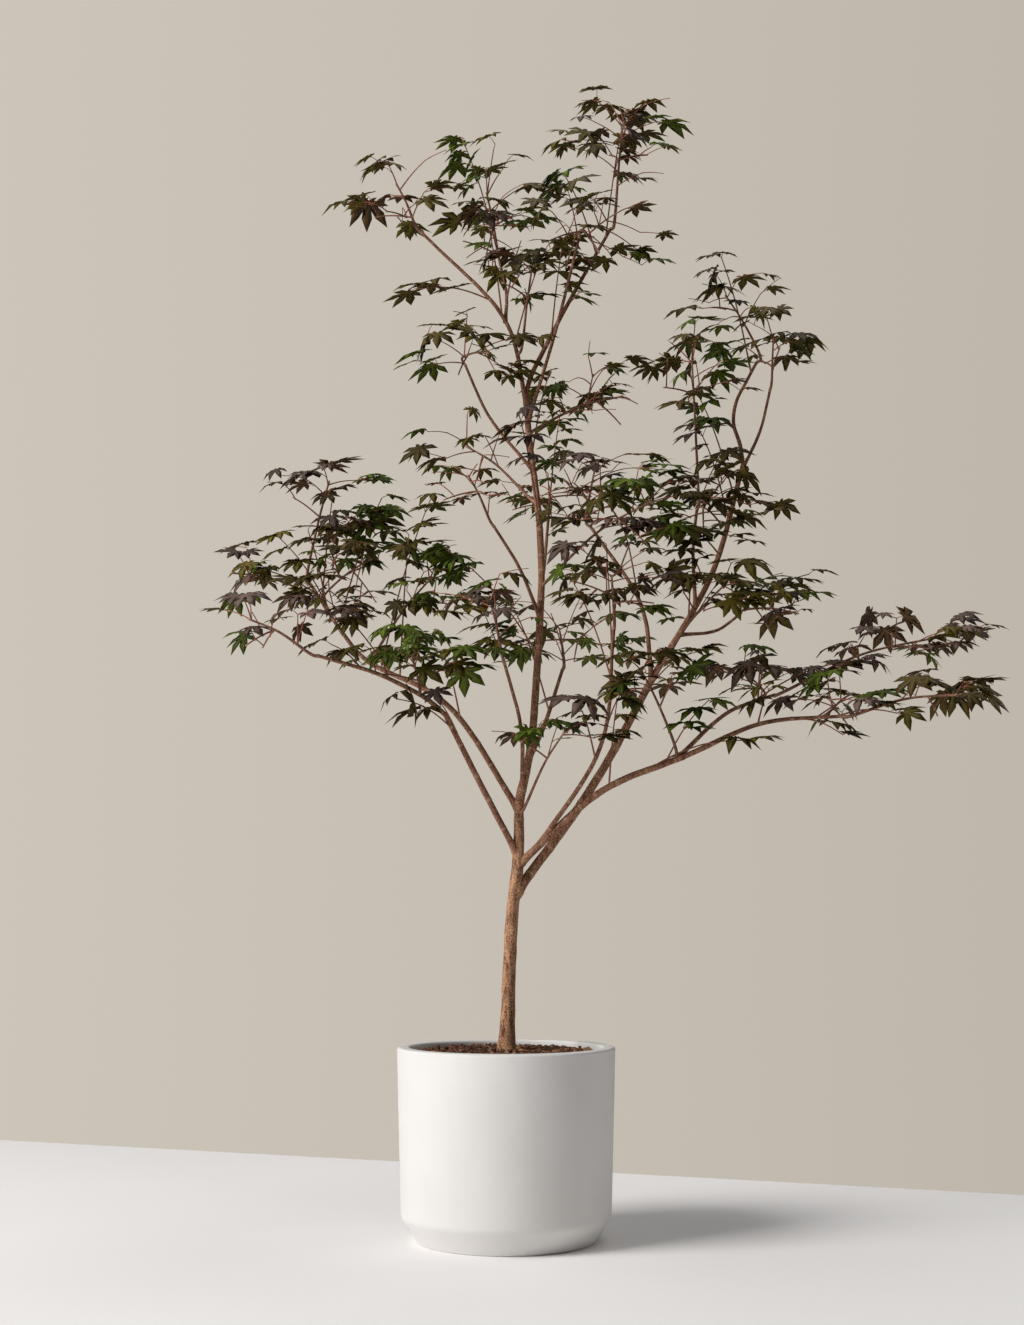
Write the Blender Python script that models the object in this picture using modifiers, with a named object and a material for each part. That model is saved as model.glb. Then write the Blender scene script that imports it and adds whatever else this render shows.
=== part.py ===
"""Potted Japanese maple: a young slender tree in a matt white pot.

Metres, +Z up, the front faces -Y. The origin is the centre of the pot's flat underside.
The pot and the potting mix are turned shapes, the trunk and boughs are tapered limbs along
smooth curves, and each mass of leaves is twigs and leaves grown by one seeded rule.
"""
from math import asin, atan2, cos, pi, radians, sin

import bmesh
import bpy
import numpy as np
from mathutils import Matrix, Vector

# Driving sizes of the pot
POT_HEIGHT = 0.309
POT_RIM_RADIUS = 0.180
POT_FOOT_RADIUS = 0.145
POT_WALL = 0.022
POT_FLOOR = 0.028
CHAMFER_HEIGHT = 0.040
CHAMFER_RADIUS = 0.1717
LIP_ROUND = 0.004
CHAMFER_ROUND = 0.012
SOIL_BELOW_RIM = 0.014
POT_STEPS = 40

# Clearance left between neighbouring pieces
GAP = 0.0003

# The trunk: places it passes through, from just inside the potting mix to its fork
SOIL_TOP = POT_HEIGHT - SOIL_BELOW_RIM
TRUNK_LINE = (
    (0.000, 0.000, 0.278),
    (0.008, 0.004, 0.500),
    (0.020, 0.000, 0.620),
    (0.023, -0.003, 0.720),
    (0.041, 0.000, 0.800),
    (0.053, 0.005, 0.950),
    (0.060, 0.004, 1.100),
    (0.054, 0.000, 1.220),
    (0.040, -0.003, 1.330),
    (0.034, 0.000, 1.420),
)
# Its radius at shares of its length: root flare, clear stem, above the boughs, fork
TRUNK_TAPER = ((0.0, 0.0185), (0.03, 0.0135), (0.10, 0.0112), (0.27, 0.0102), (0.45, 0.0066), (1.0, 0.0052))
TRUNK_POINTS = 22
LIMB_STEP = 0.004

# A bough that carries on from a limb's tip starts this far inside it, then runs straight a little;
# boughs whose feet are this near along one limb are cut clear of each other
BOUGH_SPACING = 0.045
BOUGH_INSIDE = 0.001
BOUGH_STRAIGHT = 0.013
FORK_SHARE = 0.06

# The block that cuts the trunk flat above the potting mix
GROUND_RADIUS = 0.06
GROUND_DEPTH = 0.05

# Each bough: the limb it grows from, the share of that limb's length, its tip,
# how far its middle bows from a straight line, and its radius at the foot and at the tip
BOUGHS = {
    "left_low_bough": ("trunk", 0.300, (-0.100, -0.085, 0.850), (-0.004, 0.0, 0.006), 0.0054, 0.0044),
    "left_low_end": ("left_low_bough", 1.0, (-0.300, -0.170, 0.935), (0.0, 0.0, 0.016), 0.0042, 0.0028),
    "left_bough": ("trunk", 0.365, (-0.235, 0.070, 0.955), (0.010, 0.0, 0.050), 0.0052, 0.0040),
    "left_bough_end": ("left_bough", 1.0, (-0.345, 0.095, 1.100), (-0.004, 0.0, -0.006), 0.0038, 0.0028),
    "front_stem": ("trunk", 0.398, (-0.002, -0.100, 0.930), (0.012, -0.010, 0.0), 0.0036, 0.0026),
    "right_low_bough": ("trunk", 0.286, (0.293, -0.070, 0.782), (0.0, 0.0, 0.032), 0.0064, 0.0050),
    "right_low_end": ("right_low_bough", 1.0, (0.545, -0.125, 0.843), (0.0, 0.0, 0.022), 0.0046, 0.0028),
    "right_low_fork": ("right_low_bough", 0.96, (0.455, 0.000, 0.893), (0.0, 0.0, 0.022), 0.0038, 0.0028),
    "right_inner_stem": (
        "right_low_bough", 0.14, (0.176, -0.120, 0.985), (0.042, 0.0, -0.010), 0.0042, 0.0028),
    "right_main_bough": ("trunk", 0.243, (0.262, 0.110, 0.945), (0.008, 0.0, -0.012), 0.0082, 0.0064),
    "right_main_right": (
        "right_main_bough", 1.0, (0.425, 0.120, 1.325), (0.022, 0.0, -0.010), 0.0058, 0.0042),
    "right_main_left": ("right_main_bough", 0.97, (0.150, 0.100, 1.205), (0.034, 0.0, 0.0), 0.0042, 0.0028),
    "right_top_left": ("right_main_right", 1.0, (0.455, 0.140, 1.520), (-0.030, 0.0, 0.0), 0.0038, 0.0026),
    "right_top_right": ("right_main_right", 0.97, (0.465, 0.050, 1.440), (0.008, 0.0, 0.0), 0.0030, 0.0024),
    "right_mid_stem": ("right_main_right", 0.36, (0.330, 0.010, 1.225), (-0.006, 0.0, 0.010), 0.0034, 0.0026),
    "right_shelf_bough": (
        "right_main_right", 0.22, (0.420, 0.165, 1.060), (0.010, 0.0, -0.012), 0.0032, 0.0024),
    "left_mid_stem": ("trunk", 0.655, (-0.020, -0.085, 1.165), (0.004, 0.0, 0.008), 0.0032, 0.0024),
    "left_high_stem": ("trunk", 0.880, (-0.070, -0.030, 1.460), (-0.016, 0.0, 0.0), 0.0030, 0.0022),
    "top_right_bough": ("trunk", 1.0, (0.185, 0.040, 1.735), (-0.008, 0.0, 0.0), 0.0044, 0.0028),
    "top_left_bough": ("trunk", 0.98, (-0.145, -0.040, 1.695), (0.050, 0.0, 0.004), 0.0040, 0.0026),
    "top_left_stem": ("top_left_bough", 0.42, (-0.010, 0.030, 1.660), (0.006, 0.0, 0.0), 0.0030, 0.0024),
    "top_front_stem": ("trunk", 0.955, (0.125, -0.055, 1.680), (0.004, 0.0, 0.0), 0.0034, 0.0024),
    "back_low_bough": ("trunk", 0.440, (0.100, 0.185, 0.960), (0.0, 0.010, -0.012), 0.0046, 0.0030),
    "back_high_bough": ("trunk", 0.700, (0.075, 0.160, 1.230), (0.0, 0.010, -0.010), 0.0036, 0.0026),
}

# Each mass of leaves: the limb that carries it, the share of that limb's length, the centre
# and half sizes of the space it keeps to, how many leaves it has, and its tint
MASSES = {
    "leaves_right_low_tip": (
        "right_low_end", 1.0, (0.685, -0.160, 0.865), (0.120, 0.110, 0.055), 9, "bronze"),
    "leaves_right_low_shelf": (
        "right_low_fork", 1.0, (0.690, -0.010, 0.975), (0.155, 0.120, 0.058), 13, "purple"),
    "leaves_right_low_mid": (
        "right_low_end", 0.90, (0.540, -0.110, 0.862), (0.100, 0.115, 0.078), 11, "green"),
    "leaves_right_low_inner": (
        "right_low_fork", 0.90, (0.425, 0.020, 0.915), (0.100, 0.120, 0.070), 11, "bronze"),
    "leaves_right_shelf": (
        "right_shelf_bough", 1.0, (0.485, 0.170, 1.065), (0.105, 0.115, 0.062), 8, "bronze"),
    "leaves_right_top_low": (
        "right_top_right", 1.0, (0.470, 0.040, 1.500), (0.095, 0.115, 0.075), 11, "bronze"),
    "leaves_right_top": ("right_top_left", 1.0, (0.415, 0.145, 1.625), (0.098, 0.105, 0.068), 10, "olive"),
    "leaves_right_mid_top": (
        "right_mid_stem", 1.0, (0.320, -0.040, 1.430), (0.100, 0.120, 0.105), 13, "bronze"),
    "leaves_centre_top": ("trunk", 0.935, (0.165, 0.030, 1.410), (0.115, 0.120, 0.095), 14, "green"),
    "leaves_centre_back": (
        "right_main_left", 1.0, (0.150, 0.080, 1.270), (0.130, 0.125, 0.085), 14, "bronze"),
    "leaves_centre_front": ("trunk", 0.700, (0.205, -0.175, 1.165), (0.130, 0.115, 0.095), 15, "purple"),
    "leaves_right_mid": ("right_mid_stem", 0.96, (0.345, -0.020, 1.205), (0.115, 0.125, 0.100), 15, "bronze"),
    "leaves_front_low": (
        "right_inner_stem", 1.0, (0.170, -0.200, 1.035), (0.130, 0.120, 0.085), 14, "bronze"),
    "leaves_right_inner": (
        "right_main_bough", 0.96, (0.350, -0.060, 1.050), (0.110, 0.125, 0.075), 12, "green"),
    "leaves_low_right": (
        "right_low_bough", 0.94, (0.230, -0.090, 0.905), (0.130, 0.115, 0.055), 12, "purple"),
    "leaves_front": ("front_stem", 1.0, (-0.020, -0.160, 1.000), (0.105, 0.120, 0.075), 11, "purple"),
    "leaves_left_mid": ("left_mid_stem", 1.0, (-0.050, -0.130, 1.215), (0.105, 0.110, 0.070), 10, "bronze"),
    "leaves_left_back": ("trunk", 0.830, (-0.055, 0.090, 1.335), (0.105, 0.115, 0.080), 10, "olive"),
    "leaves_left_high": ("left_high_stem", 1.0, (-0.055, -0.060, 1.470), (0.115, 0.100, 0.085), 10, "olive"),
    "leaves_left_end": ("left_bough_end", 0.78, (-0.275, 0.060, 1.110), (0.135, 0.155, 0.120), 21, "bronze"),
    "leaves_left_inner": ("left_bough", 0.97, (-0.150, 0.020, 1.070), (0.105, 0.125, 0.090), 13, "green"),
    "leaves_left_shelf": ("left_bough_end", 1.0, (-0.315, 0.050, 1.260), (0.120, 0.110, 0.042), 9, "purple"),
    "leaves_left_tip": ("left_bough_end", 0.90, (-0.440, 0.060, 1.105), (0.110, 0.105, 0.062), 9, "purple"),
    "leaves_left_low": ("left_low_end", 0.25, (-0.150, -0.120, 0.925), (0.125, 0.120, 0.070), 13, "green"),
    "leaves_left_low_tip": (
        "left_low_end", 1.0, (-0.380, -0.180, 0.975), (0.115, 0.120, 0.068), 11, "purple"),
    "leaves_top_left": ("top_left_bough", 1.0, (-0.175, -0.050, 1.745), (0.105, 0.105, 0.095), 11, "olive"),
    "leaves_top_mid": ("top_left_stem", 1.0, (-0.025, 0.030, 1.740), (0.110, 0.120, 0.150), 17, "bronze"),
    "leaves_top_low": ("top_left_bough", 0.25, (0.040, -0.075, 1.590), (0.095, 0.100, 0.065), 9, "bronze"),
    "leaves_top_front": ("top_front_stem", 1.0, (0.140, -0.070, 1.675), (0.135, 0.115, 0.100), 14, "bronze"),
    "leaves_top": ("top_right_bough", 1.0, (0.205, 0.040, 1.885), (0.105, 0.110, 0.125), 14, "olive"),
    "leaves_low_front": ("trunk", 0.360, (0.085, -0.115, 0.800), (0.120, 0.095, 0.048), 7, "green"),
    "leaves_back_low": ("back_low_bough", 1.0, (0.100, 0.270, 1.030), (0.160, 0.130, 0.090), 15, "green"),
    "leaves_back_high": ("back_high_bough", 1.0, (0.080, 0.240, 1.290), (0.140, 0.125, 0.090), 13, "bronze"),
}
SEED = 41

# One leaf: five pointed lobes round the place where its stalk meets it
LEAF_LENGTH = 0.064
LEAF_THICKNESS = 0.0032
LEAF_DROOP = 0.30
LOBES = ((0, 1.0), (50, 0.90), (102, 0.66))
NOTCHES = ((25, 0.40), (76, 0.36))
STALK = 0.0009

# The three-sided wood of a mass, each more than twice as thick as what it carries, so that
# roots end inside it: a stem in three runs, and side twigs. From a limb's side a stem leaves
# out and on along the limb; it ends past the centre of its space by a share of its half size,
# and bends up by a share of its length.
STEM = 0.0038
TWIG = 0.0018
STEM_RUN = 0.016
STEM_OUT = 0.8
STEM_ON = 0.6
STEM_PAST = 0.4
STEM_RISE = 0.06
LEAVES_PER_TWIG = 4

# Growth: room a leaf takes, how near it may come to limbs and to the next space, and tries;
# the shares of a twig where others leave it, and how much a bend costs against length
LEAF_ROOM = (0.040, 0.040, 0.020)
LEAF_LIFT = 0.016
CLEAR = 0.0030
SPACE_MARGIN = 0.03
SPACE_REACH = 1.32
TRIES = 40
ROUNDS = 26
LEAST_NOSE = radians(24)
LEAST_STALK = 0.016
JOINT_SHARES = (0.15, 0.4, 0.65, 0.9)
BEND_COST = 0.6
TWIG_ROOM = 0.6
OUTWARD = 0.3
LEVEL_WEIGHT = 1.6
HEAD_SPREAD = 0.15
NOSE_DOWN = 0.2
NOSE_SPREAD = 0.2
ROLL_SPREAD = 0.2
BLADE_SHARES = (0.35, 0.6, 0.8, 1.0)
NEIGHBOUR_REACH = 2.5

COLOURS = {
    "white_pot": ((0.78, 0.77, 0.75), 0.75),
    "bark_mulch": ((0.045, 0.022, 0.013), 0.95),
    "bark": ((0.21, 0.135, 0.09), 0.80),
    "bronze": ((0.060, 0.052, 0.026), 0.50),
    "purple": ((0.075, 0.050, 0.048), 0.50),
    "olive": ((0.085, 0.070, 0.028), 0.50),
    "green": ((0.045, 0.085, 0.022), 0.50),
}


def clear_scene():
    for obj in list(bpy.data.objects):
        bpy.data.objects.remove(obj, do_unlink=True)


def make_material(name):
    """A plain finish of the part's colour."""
    colour, roughness = COLOURS[name]
    material = bpy.data.materials.new(name)
    material.use_nodes = True
    shader = material.node_tree.nodes["Principled BSDF"]
    shader.inputs["Base Color"].default_value = (*colour, 1.0)
    shader.inputs["Roughness"].default_value = roughness
    shader.inputs["Metallic"].default_value = 0.0
    return material


def new_object(name, data, collection):
    obj = bpy.data.objects.new(name, data)
    collection.objects.link(obj)
    return obj


def finish_piece(obj, material):
    """Give a piece its finish and smooth shading with crisp edges."""
    obj.data.materials.clear()
    obj.data.materials.append(material)
    obj.data.shade_smooth()
    obj.data.set_sharp_from_angle(angle=radians(35))


# Curves

def smooth_line(points, count):
    """Evenly spaced points of the smooth curve through a few set points."""
    set_points = np.asarray(points, float)
    ends = np.vstack((2 * set_points[0] - set_points[1], set_points, 2 * set_points[-1] - set_points[-2]))
    t = np.linspace(0, 1, 24, endpoint=False)[:, None]
    spans = []
    for a, b, c, d in zip(ends, ends[1:], ends[2:], ends[3:]):
        cubic = 3 * b - 3 * c + d - a
        square = 2 * a - 5 * b + 4 * c - d
        spans.append(0.5 * (2 * b + (c - a) * t + square * t**2 + cubic * t**3))
    line = np.vstack(spans + [set_points[-1:]])
    run = np.concatenate(([0], np.cumsum(np.linalg.norm(np.diff(line, axis=0), axis=1))))
    even = np.linspace(0, run[-1], count)
    return np.column_stack([np.interp(even, run, line[:, k]) for k in range(3)])


def along(line, share):
    """The point at a share of a line's length."""
    run = np.linspace(0, 1, len(line))
    return np.array([np.interp(share, run, line[:, k]) for k in range(3)])


def heading(line, share):
    """The direction of a line at a share of its length."""
    way = along(line, min(1.0, share + 0.02)) - along(line, max(0.0, share - 0.02))
    return way / np.linalg.norm(way)


def limb_lines():
    """The centre line and the radii of the trunk and of every bough."""
    trunk = smooth_line(TRUNK_LINE, TRUNK_POINTS)
    shares, sizes = zip(*TRUNK_TAPER)
    limbs = {"trunk": (trunk, np.interp(np.linspace(0, 1, TRUNK_POINTS), shares, sizes))}
    for name, (parent, share, tip, bow, foot_radius, tip_radius) in BOUGHS.items():
        parent_line = limbs[parent][0]
        foot = along(parent_line, share)
        tip = np.array(tip)
        middle = (foot + tip) / 2 + np.array(bow)
        if share >= 1.0:
            way = heading(parent_line, 1.0)
            foot = foot - way * BOUGH_INSIDE
            points = (foot, foot + way * BOUGH_STRAIGHT, middle, tip)
        else:
            points = (foot, middle, tip)
        count = max(6, round(np.linalg.norm(tip - foot) / BOUGH_SPACING) + 1)
        limbs[name] = (smooth_line(points, count), np.linspace(foot_radius, tip_radius, count))
    return limbs


# Growth of the masses

def out_from(point, mass):
    """How far out points lie in a mass's space: 1 on its surface."""
    centre, half = MASSES[mass][2:4]
    return np.linalg.norm((np.asarray(point) - centre) / np.asarray(half), axis=-1)


def keeps_space(points, mass):
    """True where all the points lie in the mass's space, nearer to it than to any other."""
    measure = out_from(points, mass)
    if measure.max() > SPACE_REACH:
        return False
    others = (out_from(points, other) for other in MASSES if other != mass)
    return all((other > measure + SPACE_MARGIN).all() for other in others)


def dense_limbs(limbs):
    """Points 4 mm apart along every limb, with the limb's radius there."""
    points, sizes = [], []
    for line, radius in limbs.values():
        count = int(np.linalg.norm(np.diff(line, axis=0), axis=1).sum() / LIMB_STEP) + 2
        even = np.linspace(0, 1, count)
        run = np.linspace(0, 1, len(line))
        points.append(np.column_stack([np.interp(even, run, line[:, k]) for k in range(3)]))
        sizes.append(np.interp(even, run, radius))
    return np.vstack(points), np.concatenate(sizes)


def leaf_turn(head, nose, roll):
    """The turn of a leaf that heads one way, with its nose down and rolled to a side."""
    turn = Matrix.Rotation(head, 3, "Z") @ Matrix.Rotation(nose, 3, "Y") @ Matrix.Rotation(roll, 3, "X")
    return np.array(turn)


def leaf_corners():
    """The angles and reaches of the outline's nine points: lobes and notches in turn."""
    corners = {(side * angle, share) for angle, share in LOBES + NOTCHES for side in (1, -1)}
    angle, share = np.array(sorted(corners)).T
    return np.radians(angle), share * LEAF_LENGTH


def leaf_outline():
    """The outline's points, level at the stalk and drooping outwards."""
    angle, reach = leaf_corners()
    droop = -LEAF_DROOP * reach**2 / LEAF_LENGTH
    return np.column_stack((reach * np.cos(angle), reach * np.sin(angle), droop))


def blade_meets(place, turn, points, radius):
    """True where any of some round points comes too near to a leaf's blade."""
    local = (points - place) @ turn
    flat = np.hypot(local[:, 0], local[:, 1])
    angle, reach = leaf_corners()
    rim = np.interp(np.arctan2(local[:, 1], local[:, 0]), angle, reach, period=2 * pi)
    height = local[:, 2] + LEAF_DROOP * rim * np.minimum(flat, rim) / LEAF_LENGTH
    return bool(((flat < rim + radius + CLEAR) & (np.abs(height) < radius + CLEAR)).any())


def samples(start, end, count=14):
    """Evenly spaced points from a start to an end."""
    return start + (end - start) * np.linspace(0, 1, count)[:, None]


def twig_meets(points, limb_points, limb_radius):
    """True where a twig's points come too near to a limb."""
    distance = np.linalg.norm(points[:, None] - limb_points, axis=2) - limb_radius
    return distance.min() < CLEAR


def stem_line(mass, limbs):
    """A mass's stem in three runs, out of its limb's tip or side, then on through the centre."""
    limb, share, centre, half = MASSES[mass][:4]
    centre = np.array(centre)
    line, radius = limbs[limb]
    base = along(line, share)
    way = heading(line, share)
    if share >= 1.0:
        foot = base + way * GAP
        first = foot + way * STEM_RUN
    else:
        aim = centre - base
        side = aim - (aim @ way) * way
        lean = side / np.linalg.norm(side) * STEM_OUT + way * STEM_ON
        skin = np.interp(share, np.linspace(0, 1, len(radius)), radius)
        foot = base
        first = base + lean * (skin + STEM_RUN)
    aim = centre - first
    far = centre + aim / np.linalg.norm(aim / half) * STEM_PAST
    bend = (first + far) / 2 + np.array((0.0, 0.0, STEM_RISE)) * np.linalg.norm(far - first)
    return [foot, first, bend, far]


def nearest_wood(place, wood):
    """Where on the stem and side twigs a new twig leaves, by the least way and the least bend."""
    best, least = None, np.inf
    for start, end in wood:
        run = end - start
        for share in JOINT_SHARES:
            joint = start + run * share
            way = place - joint
            length = np.linalg.norm(way)
            bend = 1 - way @ run / (length * np.linalg.norm(run))
            cost = length * (1 + BEND_COST * bend)
            if LEAST_STALK < length and cost < least:
                best, least = joint, cost
    return best


def farthest(random, centre, room, taken):
    """Of some points drawn in a space, the one farthest from those taken before."""
    way = random.normal(size=(TRIES, 3))
    way /= np.linalg.norm(way, axis=1)[:, None]
    tries = centre + way * random.random((TRIES, 1))**OUTWARD * room
    spread = np.linalg.norm((tries[:, None] - np.array(taken)) * (1, 1, LEVEL_WEIGHT), axis=2).min(axis=1)
    return tries[np.argmax(spread)]


def leaf_points(place, blade, joint):
    """Points over a leaf and along its stalk, apart from the stalk's root."""
    shares = np.array(BLADE_SHARES)[:, None, None]
    return np.vstack(((place + (blade - place) * shares).reshape(-1, 3), samples(joint, place)[6:]))


def grow_mass(mass, number, stem, solids, near):
    """The side twigs and the leaves of one mass, clear of some solids' points and near leaves.

    Side twigs run from the stem to points drawn far from each other. Leaf places are then
    drawn one by one, each the farthest of some tries from those before it. Its stalk joins
    it to the nearest wood, and the leaf heads the stalk's way with its nose down. A twig or
    leaf that would leave the space, or touch a limb or another leaf, is skipped.
    """
    centre, half, count = (np.array(value) for value in MASSES[mass][2:5])
    random = np.random.default_rng(SEED + number)
    outline = leaf_outline()
    wood = list(zip(stem[1:], stem[2:]))
    twigs, taken = [], list(stem[1:])
    for _ in range(round(count / LEAVES_PER_TWIG) - 1):
        end = farthest(random, centre, half * TWIG_ROOM, taken)
        joint = nearest_wood(end, wood)
        taken.append(end)
        if not twig_meets(samples(joint, end), *solids):
            twigs.append((joint, end))
            wood.append((joint, end))
    room = np.maximum(half - LEAF_ROOM, 0.010)
    blocks = with_points(solids, [samples(*run) for run in wood], TWIG)
    leaves, taken = [], [stem[0]]
    for _ in range(count * ROUNDS):
        if len(leaves) == count:
            break
        place = farthest(random, centre + (0, 0, LEAF_LIFT), room, taken)
        taken.append(place)
        joint = nearest_wood(place, wood)
        way = (place - joint) / np.linalg.norm(place - joint)
        head = atan2(way[1], way[0]) + random.normal(0, HEAD_SPREAD)
        nose = max(random.normal(NOSE_DOWN, NOSE_SPREAD), LEAST_NOSE - asin(way[2]))
        turn = leaf_turn(head, nose, random.normal(0, ROLL_SPREAD))
        blade = place + outline @ turn.T
        own = leaf_points(place, blade, joint)
        if not keeps_space(blade, mass) or blade_meets(place, turn, *blocks):
            continue
        met = (blade_meets(leaf[0], leaf[1], own, STALK) for leaf in near + leaves)
        if twig_meets(own, *solids) or any(met):
            continue
        leaves.append((place, turn, joint))
        blocks = with_points(blocks, [own], STALK)
    return twigs, leaves, blocks


def with_points(solids, extra, radius):
    """Some points and radii, with more points of one radius."""
    points, sizes = solids
    extra = np.vstack(extra)
    return np.vstack((points, extra)), np.concatenate((sizes, np.full(len(extra), radius)))


def grow_masses(limbs):
    """The stem, twigs and leaves of every mass, each clear of the limbs, stems and masses before it."""
    stems = {mass: stem_line(mass, limbs) for mass in MASSES}
    runs = {mass: np.vstack([samples(*run) for run in zip(stem, stem[1:])]) for mass, stem in stems.items()}
    grown, limb_solids = {}, dense_limbs(limbs)
    done, all_leaves = [np.empty((0, 3))], []
    for number, mass in enumerate(MASSES):
        solids = with_points(limb_solids, [runs[other] for other in MASSES if other != mass], STEM)
        solids = with_points(solids, done, STALK)
        close = out_from(solids[0], mass) < NEIGHBOUR_REACH
        solids = solids[0][close], solids[1][close]
        near = [leaf for leaf in all_leaves if out_from(leaf[0], mass) < NEIGHBOUR_REACH]
        twigs, leaves, blocks = grow_mass(mass, number, stems[mass], solids, near)
        done.append(blocks[0][len(solids[0]):])
        all_leaves += leaves
        grown[mass] = stems[mass], twigs, leaves
    return grown


# Solids

def turned_solid(name, profile, steps, collection):
    """A closed turned shape from a profile of radius and height, run from axis to axis."""
    mesh = bpy.data.meshes.new(name)
    points = [(radius, 0.0, height) for radius, height in profile]
    mesh.from_pydata(points, [(i, i + 1) for i in range(len(points) - 1)], [])
    obj = new_object(name, mesh, collection)
    screw = obj.modifiers.new("turn", "SCREW")
    screw.steps = steps
    screw.render_steps = steps
    screw.use_merge_vertices = True
    screw.merge_threshold = 0.0001
    screw.use_smooth_shade = True
    return obj


def rounded(corner, before, after, size, count=3):
    """The points of a round between two straight lines that meet at a corner."""
    corner, before, after = (Vector(point) for point in (corner, before, after))
    start = corner + (before - corner).normalized() * size
    end = corner + (after - corner).normalized() * size
    shares = [i / (count + 1) for i in range(count + 2)]
    return [tuple(start * (1 - t)**2 + corner * 2 * t * (1 - t) + end * t**2) for t in shares]


def make_pot(collection):
    """Straight wall, a chamfered foot and a rounded lip; the inside is plain."""
    inside = POT_RIM_RADIUS - POT_WALL
    inside_foot = CHAMFER_RADIUS - POT_WALL
    floor_edge = (inside_foot, CHAMFER_HEIGHT)
    rim_in = (inside, POT_HEIGHT)
    rim_out = (POT_RIM_RADIUS, POT_HEIGHT)
    chamfer = (CHAMFER_RADIUS, CHAMFER_HEIGHT)
    foot = (POT_FOOT_RADIUS, 0.0)
    profile = [(0.0, POT_FLOOR), (POT_FOOT_RADIUS - POT_WALL, POT_FLOOR), floor_edge]
    profile += rounded(rim_in, floor_edge, rim_out, LIP_ROUND, 1)
    profile += rounded(rim_out, rim_in, chamfer, LIP_ROUND, 1)
    profile += rounded(chamfer, rim_out, foot, CHAMFER_ROUND, 1)
    profile += rounded(foot, chamfer, (0.0, 0.0), LIP_ROUND, 0)
    profile += [(0.0, 0.0)]
    return turned_solid("pot", profile, POT_STEPS, collection)


def make_soil(collection):
    """The potting mix under its bark mulch: it fills the pot, flat on top."""
    slope = (POT_RIM_RADIUS - CHAMFER_RADIUS) / (POT_HEIGHT - CHAMFER_HEIGHT)
    edge = CHAMFER_RADIUS - POT_WALL - 2 * GAP
    top_edge = edge + slope * (SOIL_TOP - CHAMFER_HEIGHT)
    bottom_edge = POT_FOOT_RADIUS - POT_WALL - 2 * GAP
    bottom = POT_FLOOR + GAP
    profile = [(0.0, SOIL_TOP), (top_edge, SOIL_TOP), (edge, CHAMFER_HEIGHT + GAP)]
    profile += [(bottom_edge, bottom), (0.0, bottom)]
    return turned_solid("soil", profile, POT_STEPS, collection)


def tube(name, line, radius, detail, collection):
    """A tapered limb as a closed mesh, from a curve with filled caps."""
    curve = bpy.data.curves.new(name, "CURVE")
    curve.dimensions = "3D"
    curve.bevel_depth = 1.0
    curve.bevel_resolution = detail
    curve.use_fill_caps = True
    spline = curve.splines.new("POLY")
    spline.points.add(len(line) - 1)
    for point, place, size in zip(spline.points, line, radius):
        point.co = (*place, 1.0)
        point.radius = size
    source = new_object(name + "_curve", curve, collection)
    depsgraph = bpy.context.evaluated_depsgraph_get()
    mesh = bpy.data.meshes.new_from_object(source.evaluated_get(depsgraph))
    mesh.name = name
    bpy.data.objects.remove(source, do_unlink=True)
    bpy.data.curves.remove(curve)
    model = bmesh.new()
    model.from_mesh(mesh)
    bmesh.ops.remove_doubles(model, verts=model.verts, dist=0.00001)
    bmesh.ops.recalc_face_normals(model, faces=model.faces)
    model.to_mesh(mesh)
    model.free()
    return new_object(name, mesh, collection)


def keep_main_body(mesh):
    """Drop what a Boolean leaves apart: scraps outside and sealed hollows inside."""
    model = bmesh.new()
    model.from_mesh(mesh)
    bodies, seen = [], set()
    for vertex in model.verts:
        if vertex in seen:
            continue
        body, stack = [], [vertex]
        seen.add(vertex)
        while stack:
            current = stack.pop()
            body.append(current)
            for edge in current.link_edges:
                other = edge.other_vert(current)
                if other not in seen:
                    seen.add(other)
                    stack.append(other)
        bodies.append(body)
    bodies.sort(key=len)
    loose = [vertex for body in bodies[:-1] for vertex in body]
    bmesh.ops.delete(model, geom=loose, context="VERTS")
    model.to_mesh(mesh)
    model.free()


def apply_modifiers(obj):
    """Turn an object's evaluated shape into its mesh."""
    depsgraph = bpy.context.evaluated_depsgraph_get()
    mesh = bpy.data.meshes.new_from_object(obj.evaluated_get(depsgraph))
    old = obj.data
    obj.modifiers.clear()
    obj.data = mesh
    bpy.data.meshes.remove(old)
    mesh.name = obj.name
    keep_main_body(mesh)


def join_level_faces(mesh):
    """Join the slivers that a union leaves in one plane, where the mesh stays closed."""
    model = bmesh.new()
    model.from_mesh(mesh)
    bmesh.ops.dissolve_limit(model, angle_limit=radians(0.05), verts=model.verts, edges=model.edges)
    bmesh.ops.triangulate(model, faces=model.faces)
    if all(edge.is_manifold for edge in model.edges):
        model.to_mesh(mesh)
    model.free()


def cut_clear(obj, cutter):
    """Cut an object clear of a cutter, a limb's clearance or the ground's."""
    cut = obj.modifiers.new("clear of " + cutter.name, "BOOLEAN")
    cut.operation = "DIFFERENCE"
    cut.object = cutter


def make_cutter(obj):
    obj.hide_render = True
    obj.display_type = "WIRE"
    return obj


def clearance_tube(name, line, radius, detail, cutters):
    """A limb's shape made 0.36 mm larger all round, ends too."""
    room = GAP * 1.2
    ends = line[0] - heading(line, 0.0) * room, line[-1] + heading(line, 1.0) * room
    line = np.vstack((ends[:1], line, ends[1:]))
    radius = np.concatenate((radius[:1], radius, radius[-1:])) + room
    return make_cutter(tube(name + "_clearance", line, radius, detail, cutters))


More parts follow.
